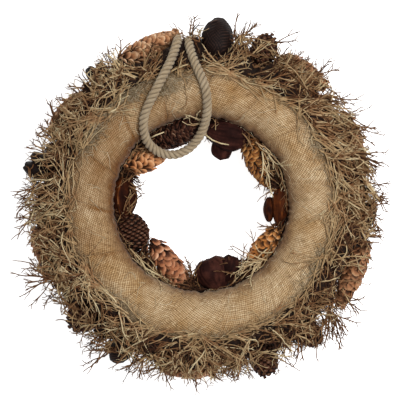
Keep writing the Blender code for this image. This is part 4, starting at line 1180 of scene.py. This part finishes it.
def add_twig(bundle, line, thick, tone, limit, near, least=0.36, forked=0.36):
    """A twig that tapers a little, with stubs, with forks in its outer part and a claw at its end."""
    count = len(line)
    if count < 3:
        return
    radii = [thick * (1 - 0.36 * index / (count - 1)) for index in range(count)]
    tones = [tone_by_reach(tone + 0.10 * index / count, tube_reach(point)[3]) for index, point in enumerate(line)]
    bundle.add(line, radii, 3, tones, random.uniform(0, 2))
    for at in range(1, count):
        outer = at / (count - 1)
        draw = random.random()
        if at == count - 1:
            sizes = [random.uniform(3.5, 7.5) for _ in range(random.choice((1, 2, 2)))]
        elif draw < 0.15:
            sizes = [random.uniform(2.0, 4.5)]
        elif draw < 0.15 + forked * outer:
            sizes = [random.uniform(6, 14)]
        else:
            continue
        ahead = (line[at] - line[at - 1]).normalized()
        spin = Matrix.Rotation(random.uniform(0, 2 * math.pi), 3, ahead)
        first_side = spin @ ahead.orthogonal().normalized()
        for number, size in enumerate(sizes):
            side = first_side * (1 if number == 0 else -1)
            side.z *= 0.5
            heading = (ahead + side * random.uniform(0.4, 0.95)).normalized()
            fork = [line[at]]
            parts = 1 if size < 5 else 2 if size < 9 else 3
            for _ in range(parts):
                heading = (heading + scatter(0.2, 0.12)).normalized()
                fork.append(fork[-1] + heading * size / parts)
            _, _, reach, out = tube_reach(fork[-1])
            if reach < TUBE_RADIUS + 1 or out > limit + 4:
                continue
            if not BRUSH_LOW - 1 <= fork[-1].z <= BRUSH_HIGH + 1:
                continue
            if any(under_rope(spot) is not None and spot.z > under_rope(spot) for spot in fork):
                continue
            if blocked(fork[-1], near, 0.2) is not None:
                continue
            slim = max(least, radii[at] * 0.72)
            bundle.add(fork, [slim * (1 - 0.35 * index / parts) for index in range(parts + 1)], 3,
                       [tone_by_reach(tones[at] + 0.06, out)] * (parts + 1), random.uniform(0, 2))


def add_sprig(bundle, start, heading, length, stems, limit, near, tone, free=False):
    """A fan of stems from one root, dropping those that would hide a rim cone which shows."""
    for _ in range(stems):
        spread = scatter(0.30, 0.16)
        root = start + scatter(1.6, 1.0)
        if tube_reach(root)[2] < TUBE_RADIUS + 1.0:
            root = start.copy()
        line = grow_twig(root, heading + spread, length * random.uniform(0.55, 1.15), limit, near, free)
        hidden = crossed_views(line)
        if hidden and random.random() < max(hidden):
            continue
        middle = line[len(line) // 2]
        # Painted shade: a twig is darker the deeper it lies under the brush's top; over the cloth it stays
        # pale
        depth = max(0.0, mat_top(tube_reach(middle)[3]) - middle.z)
        shade = tone + 0.36 - 0.58 * min(1.0, depth / 30) + random.gauss(0, 0.19)
        if tube_reach(middle)[3] < 150:
            shade = max(shade, 0.48)
        add_twig(bundle, line, random.uniform(0.62, 1.06), shade, limit, near, 0.54 if free else 0.45)


def knot_stand(angle, around, flank, thickness):
    """How far a knot stands out of the burlap at a place. Its lumps vary more on the outer flank."""
    v = (around - flank[0]) / (flank[1] - flank[0])
    swell = min(1.0, 2.6 * max(0.0, min(v, 1 - v)) + 0.05)
    spot = ring_point(angle, around, TUBE_RADIUS + KNOT_SEAT)
    lump = 0.85 + 0.5 * noise.noise(spot / 11) + 0.4 * noise.noise(spot / 4.5)
    return thickness * swell * min(1.05, max(0.25 if thickness > 20 else 0.62, lump))


def knot_of(first_angle, last_angle, flank, thickness, columns, rows, near):
    """The dark lumpy knot of stems under the twigs: a closed bolster on the ring, clear of the cones."""
    points = []
    for column in range(columns + 1):
        u = column / columns
        angle = first_angle + (last_angle - first_angle) * u
        for row in range(rows + 1):
            v = row / rows
            around = flank[0] + (flank[1] - flank[0]) * v
            stand = knot_stand(angle, around, flank, thickness)
            goal = ring_point(angle, around, TUBE_RADIUS + KNOT_SEAT + stand)
            while stand > 1.0 and (blocked(goal, near, 0.3) is not None
                                   or max(crossed_views([goal]), default=0) > 0.45):
                stand *= 0.75
                goal = ring_point(angle, around, TUBE_RADIUS + KNOT_SEAT + stand)
            points.append(goal)
    upper = len(points)
    for column in range(columns + 1):
        angle = first_angle + (last_angle - first_angle) * column / columns
        for row in range(rows + 1):
            points.append(ring_point(angle, flank[0] + (flank[1] - flank[0]) * row / rows, TUBE_RADIUS + 0.4))
    faces = []
    wide = rows + 1
    for column in range(columns):
        for row in range(rows):
            a = column * wide + row
            faces.append((a, a + wide, a + wide + 1, a + 1))
            faces.append((upper + a, upper + a + 1, upper + a + wide + 1, upper + a + wide))
    for column in range(columns):
        a, b = column * wide, (column + 1) * wide
        faces.append((a, upper + a, upper + b, b))
        a, b = a + rows, b + rows
        faces.append((a, b, upper + b, upper + a))
    for row in range(rows):
        faces.append((row, row + 1, upper + row + 1, upper + row))
        a = columns * wide + row
        faces.append((a, upper + a, upper + a + 1, a + 1))
    return points, faces


def start_bundle(knot_points, knot_faces):
    """A bundle that starts with its knot, painted near black as the shade deep in the brush."""
    bundle = Strands()
    bundle.points = list(knot_points)
    bundle.faces = list(knot_faces)
    # Painted shade: the knot is near black
    bundle.tones = [0.02] * len(knot_points)
    bundle.places = [(0.0, 0.0)] * len(knot_points)
    return bundle


for sector in range(SPRAY_COUNT):
    random.seed(900 + sector)
    first_angle, last_angle = SPRAY_ARC * sector, SPRAY_ARC * (sector + 1)
    mass, longest = SPRAY_REACH[sector]
    near = near_pieces(first_angle + SPRAY_ARC / 2, 34)
    bundle = start_bundle(*knot_of(first_angle, last_angle, OUTER_FLANK, KNOT_THICKNESS, 18, 26, near))
    for sprig in range(SPRIGS_PER_SPRAY):
        angle = first_angle + (last_angle - first_angle) * (sprig + random.random()) / SPRIGS_PER_SPRAY
        # A third of the sprigs root on top, most others at the rim or on the outer flank, and some low down
        level = (sprig * GOLDEN_SHARE) % 1
        rim = False
        if level < 0.34:
            around, depth = random.uniform(24, 60), random.uniform(1.5, 6)
            lift = random.uniform(-0.15, 0.10)
            length = random.uniform(28, 62)
        elif level < 0.62:
            rim = True
            lift = random.uniform(-0.15, 0.15)
            length = random.uniform(22, 46)
        elif level < 0.80:
            around, depth = random.uniform(-25, 26), random.uniform(4, 24)
            lift = random.uniform(-0.15, 0.35)
            length = random.uniform(18, 42)
        else:
            around, depth = random.uniform(-76, -20), random.uniform(2, 17)
            lift = random.uniform(-0.35, 0.12)
            length = random.uniform(18, 40)
        if rim:
            out = random.uniform(162, 184)
            start = ring_spot(angle, out, mat_top(out) - random.uniform(1, 12))
        else:
            start = ring_point(angle, around, TUBE_RADIUS + depth)
            if blocked(start, near, 1.0) is not None:
                start = ring_point(angle, around, TUBE_RADIUS + 1.6)
        outward, along = ring_ways(angle)
        along *= -1 if random.random() < CLOCKWISE[sector] else 1
        heading = along * random.uniform(0.35, 1.0) + outward * random.uniform(-0.08, 0.35 if rim else 0.95)
        heading.z = lift
        free = random.random() < 0.14
        limit = longest if free else random.uniform(mass - 10, mass + 3)
        add_sprig(bundle, start, heading, length, random.choice((5, 6, 7, 8)), limit, near,
                  BRUSH_TONES[sector], free)
    # Brown stems that lie along the dark knot
    for _ in range(KNOT_STEMS):
        angle, around = random.uniform(first_angle, last_angle), random.uniform(-34, 28)
        course = random.choice((0, math.pi)) + random.gauss(0, 0.6)
        line = []
        for _ in range(random.choice((4, 5, 6, 7, 8))):
            stand = knot_stand(angle, around, OUTER_FLANK, KNOT_THICKNESS) + random.uniform(0.6, 1.9)
            spot = ring_point(angle, around, TUBE_RADIUS + KNOT_SEAT + stand)
            ceiling = under_rope(spot)
            if ceiling is not None and spot.z > ceiling:
                break
            if around > 33 or blocked(spot, near, 0.6) is not None:
                break
            line.append(spot)
            course += random.gauss(0, 0.25)
            angle += math.degrees(STEM_STEP * math.cos(course) / tube_reach(spot)[3])
            around += math.degrees(STEM_STEP * math.sin(course) / (TUBE_RADIUS + stand))
        hidden = crossed_views(line)
        if len(line) < 3 or (hidden and random.random() < 1.9 * max(hidden)):
            continue
        shade = random.uniform(0.06, 0.42)
        bundle.add(line, [random.uniform(0.65, 1.0)] * len(line), 3, [shade] * len(line))
    # Short forked ends that stand out past the cones and make the wreath's ragged edge
    for spike in range(RIM_SPIKES):
        angle = first_angle + (last_angle - first_angle) * (spike + random.random()) / RIM_SPIKES
        out = random.uniform(165, 181)
        depth = random.uniform(1, 34) if spike % 2 else random.uniform(1, 10)
        start = ring_spot(angle, out, mat_top(out) - depth)
        if blocked(start, near, 0.8) is not None:
            start.z = mat_top(out) - 1
        outward, along = ring_ways(angle)
        heading = (outward * random.uniform(0.6, 1.1)
                   + along * random.gauss(0.3 - 0.6 * CLOCKWISE[sector], 0.5))
        heading.z = random.uniform(-0.3, 0.05)
        limit = random.uniform(mass, longest) if spike % 3 else longest
        add_sprig(bundle, start, heading, random.uniform(16, 34), random.choice((2, 3, 3)), limit, near,
                  0.08, True)
    # The photograph's own forked sprigs, each in the sixteenth that it is rooted in
    for x, y, course, length, stems in RIM_SPRIGS:
        if not first_angle <= math.degrees(math.atan2(y - RING_Y, x - RING_X)) % 360 < last_angle:
            continue
        top = mat_top(math.hypot(x - RING_X, y - RING_Y))
        for _ in range(stems):
            turn = math.radians(course + random.gauss(0, 17))
            heading = Vector((math.cos(turn), math.sin(turn), random.uniform(-0.2, 0.1)))
            start = Vector((x + random.gauss(0, 1.5), y + random.gauss(0, 1.5), top - random.uniform(0, 5)))
            line = grow_twig(start - heading * 6, heading, 6 + length * random.uniform(0.65, 1.1), RIM_LIMIT,
                             near, True)
            add_twig(bundle, line, random.uniform(0.8, 1.1), random.uniform(0.16, 0.5), RIM_LIMIT, near,
                     0.62, 0.7)
    spray = lay_down(f"twig_brush_outer_{sector + 1}", bundle.points, bundle.faces, bundle.tones, twig_bark)
    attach(spray, "root")
    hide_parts(f"twig_spray_outer_{sector + 1}")

# Brush round the hole, rooted on the ring's inner side. Each tuft is the arc that it fills between the cones
# and the burlap, then the sprigs that poke out of it: angle, distance from the ring's centre, height,
# heading, length and number of stems
HOLE_FLANK, HOLE_KNOT_THICKNESS = (188, 230), 15.0
GAP_STEMS = 34
# How near the ring's centre the knot's stems, the wads in the gaps and the sprigs may come
STEM_CLEAR, WAD_CLEAR, SPRIG_CLEAR = 72, 67, 57
HOLE_TUFTS = (
    (-20, 57, ((44, 90, 66, -50, 44, 5), (40, 88, 70, -62, 46, 4), (12, 82, 62, 190, 16, 3),
               (26, 92, 64, -80, 30, 4))),
    (-72, -20, ((-36, 90, 66, -145, 46, 5), (-44, 88, 70, -160, 40, 6), (-62, 84, 66, 150, 22, 4),
                (-18, 82, 60, 170, 16, 3), (-42, 92, 70, -172, 42, 4), (-62, 89, 70, 42, 36, 5))),
    (-130, -72, ((-96, 84, 62, 100, 22, 4), (-99, 82, 64, 50, 20, 3), (-128, 90, 68, -40, 36, 4),
                 (-124, 88, 70, 140, 26, 3))),
    (150, 230, ((186, 82, 62, 62, 22, 4), (184, 80, 66, 40, 18, 3), (166, 78, 64, -12, 18, 4),
                (215, 90, 64, -50, 30, 4), (222, 90, 66, 130, 18, 3))),
    (57, 150, ((86, 90, 70, -165, 26, 3), (90, 90, 74, 200, 30, 2), (58, 90, 66, -40, 20, 3),
               (128, 90, 66, -150, 22, 3), (146, 90, 66, 60, 20, 3))),
)
# Gaps between the cones that each tuft closes: angle, distance from the ring's centre, height and size
HOLE_GAPS = (
    ((18, 83, 58, 8), (28, 84, 57, 7), (30, 86, 60, 8), (23, 80, 52, 7), (2, 92, 62, 6), (-13, 91, 60, 6),
     (48, 88, 62, 7), (31, 86, 54, 6), (15, 84, 54, 6), (12, 86, 58, 6), (33, 88, 58, 6)),
    ((-61, 81, 58, 8), (-66, 87, 58, 7), (-54, 87, 56, 8), (-19, 91, 58, 6), (-58, 85, 60, 6),
     (-70, 89, 60, 7), (-70, 88, 55, 7)),
    ((-91, 87, 56, 7), (-97, 84, 58, 6), (-128, 88, 58, 7)),
    ((157, 90, 60, 6), (189, 90, 60, 6), (227, 84, 56, 8), (221, 89, 58, 7), (204, 93, 58, 6),
     (157, 84, 58, 6), (236, 88, 60, 7), (218, 77, 56, 6), (216, 73, 56, 6), (218, 78, 60, 5),
     (214, 79, 60, 6), (159, 84, 56, 7), (238, 88, 56, 7), (241, 90, 58, 6)),
    ((78, 90, 62, 6), (138, 91, 60, 6), (58, 87, 62, 7), (126, 93, 62, 5), (147, 92, 60, 6), (142, 93, 57, 6),
     (135, 86, 60, 6), (133, 87, 58, 6)),
)


def fill_gap(bundle, angle, out, height, size, near):
    """A wad of short stems between two cones, painted dark for the shade in the gap and tan at its top where
    light reaches.
    """
    middle = ring_spot(angle, out, height)
    for _ in range(GAP_STEMS):
        rise = random.gauss(0, 0.6)
        spot = middle + Vector((random.gauss(0, 0.5), random.gauss(0, 0.5), rise)) * size
        course = math.radians(angle) + random.choice((0.5, 1, 1.5, 2)) * math.pi + random.gauss(0, 0.5)
        heading = Vector((math.cos(course), math.sin(course), random.gauss(0, 0.3)))
        start = spot - heading * 6
        line = []
        for point in grow_twig(start, heading, random.uniform(11, 18), NO_LIMIT, [], False):
            clear = tube_reach(point)[3] > WAD_CLEAR and blocked(point, near, -1.5) is None
            if clear and tube_reach(point)[2] > TUBE_RADIUS + 1:
                line.append(point)
            elif len(line) > 2:
                break
            else:
                line = []
        # Painted shade: dark low in the wad, paler toward its top
        add_twig(bundle, line, random.uniform(0.6, 1.0), 0.06 + 0.4 * max(0.0, rise - 0.5), NO_LIMIT, near)


for index, (first_angle, last_angle, sprigs) in enumerate(HOLE_TUFTS):
    random.seed(1300 + index)
    near = near_pieces((first_angle + last_angle) / 2, 180)
    columns = round((last_angle - first_angle) / 2.2)
    bundle = start_bundle(*knot_of(first_angle, last_angle, HOLE_FLANK, HOLE_KNOT_THICKNESS,
                                  columns, 10, near))
    for _ in range(round((last_angle - first_angle) * 0.55)):
        angle = random.uniform(first_angle + 2, last_angle - 2)
        start = ring_point(angle, random.uniform(172, 214), TUBE_RADIUS + random.uniform(1.2, 6))
        if blocked(start, near, 0.6) is not None:
            continue
        outward, along = ring_ways(angle)
        along.z = random.uniform(-0.2, 0.2)
        heading = along * random.choice((-1, 1)) - outward * random.uniform(0, 0.35)
        line = grow_twig(start, heading, random.uniform(14, 30), NO_LIMIT, near, False)
        line = [point for point in line if tube_reach(point)[3] > STEM_CLEAR]
        add_twig(bundle, line, random.uniform(0.45, 0.75), random.uniform(0.02, 0.40), NO_LIMIT, near)
    for gap in HOLE_GAPS[index]:
        fill_gap(bundle, *gap, near)
    # Sprigs that poke out of the tuft, the short ones darker
    for angle, out, height, course, length, stems in sprigs:
        course = math.radians(course)
        root = ring_spot(angle, out, height)
        for _ in range(stems):
            heading = Vector((math.cos(course), math.sin(course), random.uniform(-0.1, 0.25)))
            heading += Vector((random.gauss(0, 0.28), random.gauss(0, 0.28), 0))
            start = root + Vector((random.gauss(0, 2.5), random.gauss(0, 2.5), random.uniform(-3, 6)))
            if blocked(start, near, 0.4) is not None:
                start.z += 9
            if tube_reach(start)[2] < TUBE_RADIUS + 1:
                continue
            line = grow_twig(start, heading, length * random.uniform(0.6, 1.1), NO_LIMIT, near, True)
            line = [point for point in line if tube_reach(point)[3] > SPRIG_CLEAR]
            thick = random.uniform(0.68, 0.98)
            shade = random.uniform(0.18, 0.5) if length < 24 else random.uniform(0.5, 1.0)
            add_twig(bundle, line, thick, shade, NO_LIMIT, near, 0.52)
    if index == 1:
        # Stems in the slit between the plum-brown husk and the burlap, painted dark as the shade in the slit
        for step in range(6):
            stem = ((24.5, -93.5 + step, 57), (31, -91.2 + step, 58.5), (38.5, -88.3 + step, 57))
            bundle.add([Vector(point) for point in stem], [0.8, 0.8, 0.6], 3, [0.08 + 0.05 * (step % 3)] * 3)
    if index == 4:
        # Two pale stems that lie over the pine cone and over the plum-brown husk beside it
        for stem in (((-52.1, 66.9, 80), (-47, 69.4, 82.5), (-42.5, 71, 82.5), (-38.3, 72.7, 82)),
                     ((5.3, 70.5, 80), (14, 64, 81), (23, 60.5, 79.5), (31.5, 59.1, 77.5))):
            bundle.add([Vector(point) for point in stem], [0.9, 0.85, 0.8, 0.6], 5, [0.85] * 4)
    spray = lay_down(f"twig_brush_inner_{index + 1}", bundle.points, bundle.faces, bundle.tones, twig_bark)
    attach(spray, "root")
    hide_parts(f"twig_spray_inner_{index + 1}")


# Floor and light
# A plain white floor, painted matt, under soft, even studio light from all round. One round lamp makes it a
# little stronger from the top of the picture.
KEY_PLACE = Vector((0.55, 0.2, 1.75))
bpy.ops.object.select_all(action="DESELECT")
bpy.ops.mesh.primitive_plane_add(size=8, location=(0, 0, 0))
floor = bpy.context.object
floor.name = "studio_floor"
white_floor = new_material("white_floor_paint")
finish_off(white_floor, None, {"Base Color": linear("#F4F4F4"), "Roughness": 0.9,
                               "Emission Color": (1, 1, 1, 1), "Emission Strength": 0.85})
floor.data.materials.append(white_floor)

world = bpy.data.worlds.new("studio")
world.use_nodes = True
world.node_tree.nodes["Background"].inputs["Color"].default_value = (1, 1, 1, 1)
world.node_tree.nodes["Background"].inputs["Strength"].default_value = 0.405
bpy.context.scene.world = world
bpy.ops.object.light_add(type="AREA", location=KEY_PLACE)
key_light = bpy.context.object
key_light.name = "key_light"
key_light.data.shape = "DISK"
key_light.data.size = 0.9
key_light.data.energy = 28.5
key_light.rotation_euler = (KEY_PLACE - Vector((0, 0, 0.05))).to_track_quat("Z", "Y").to_euler()
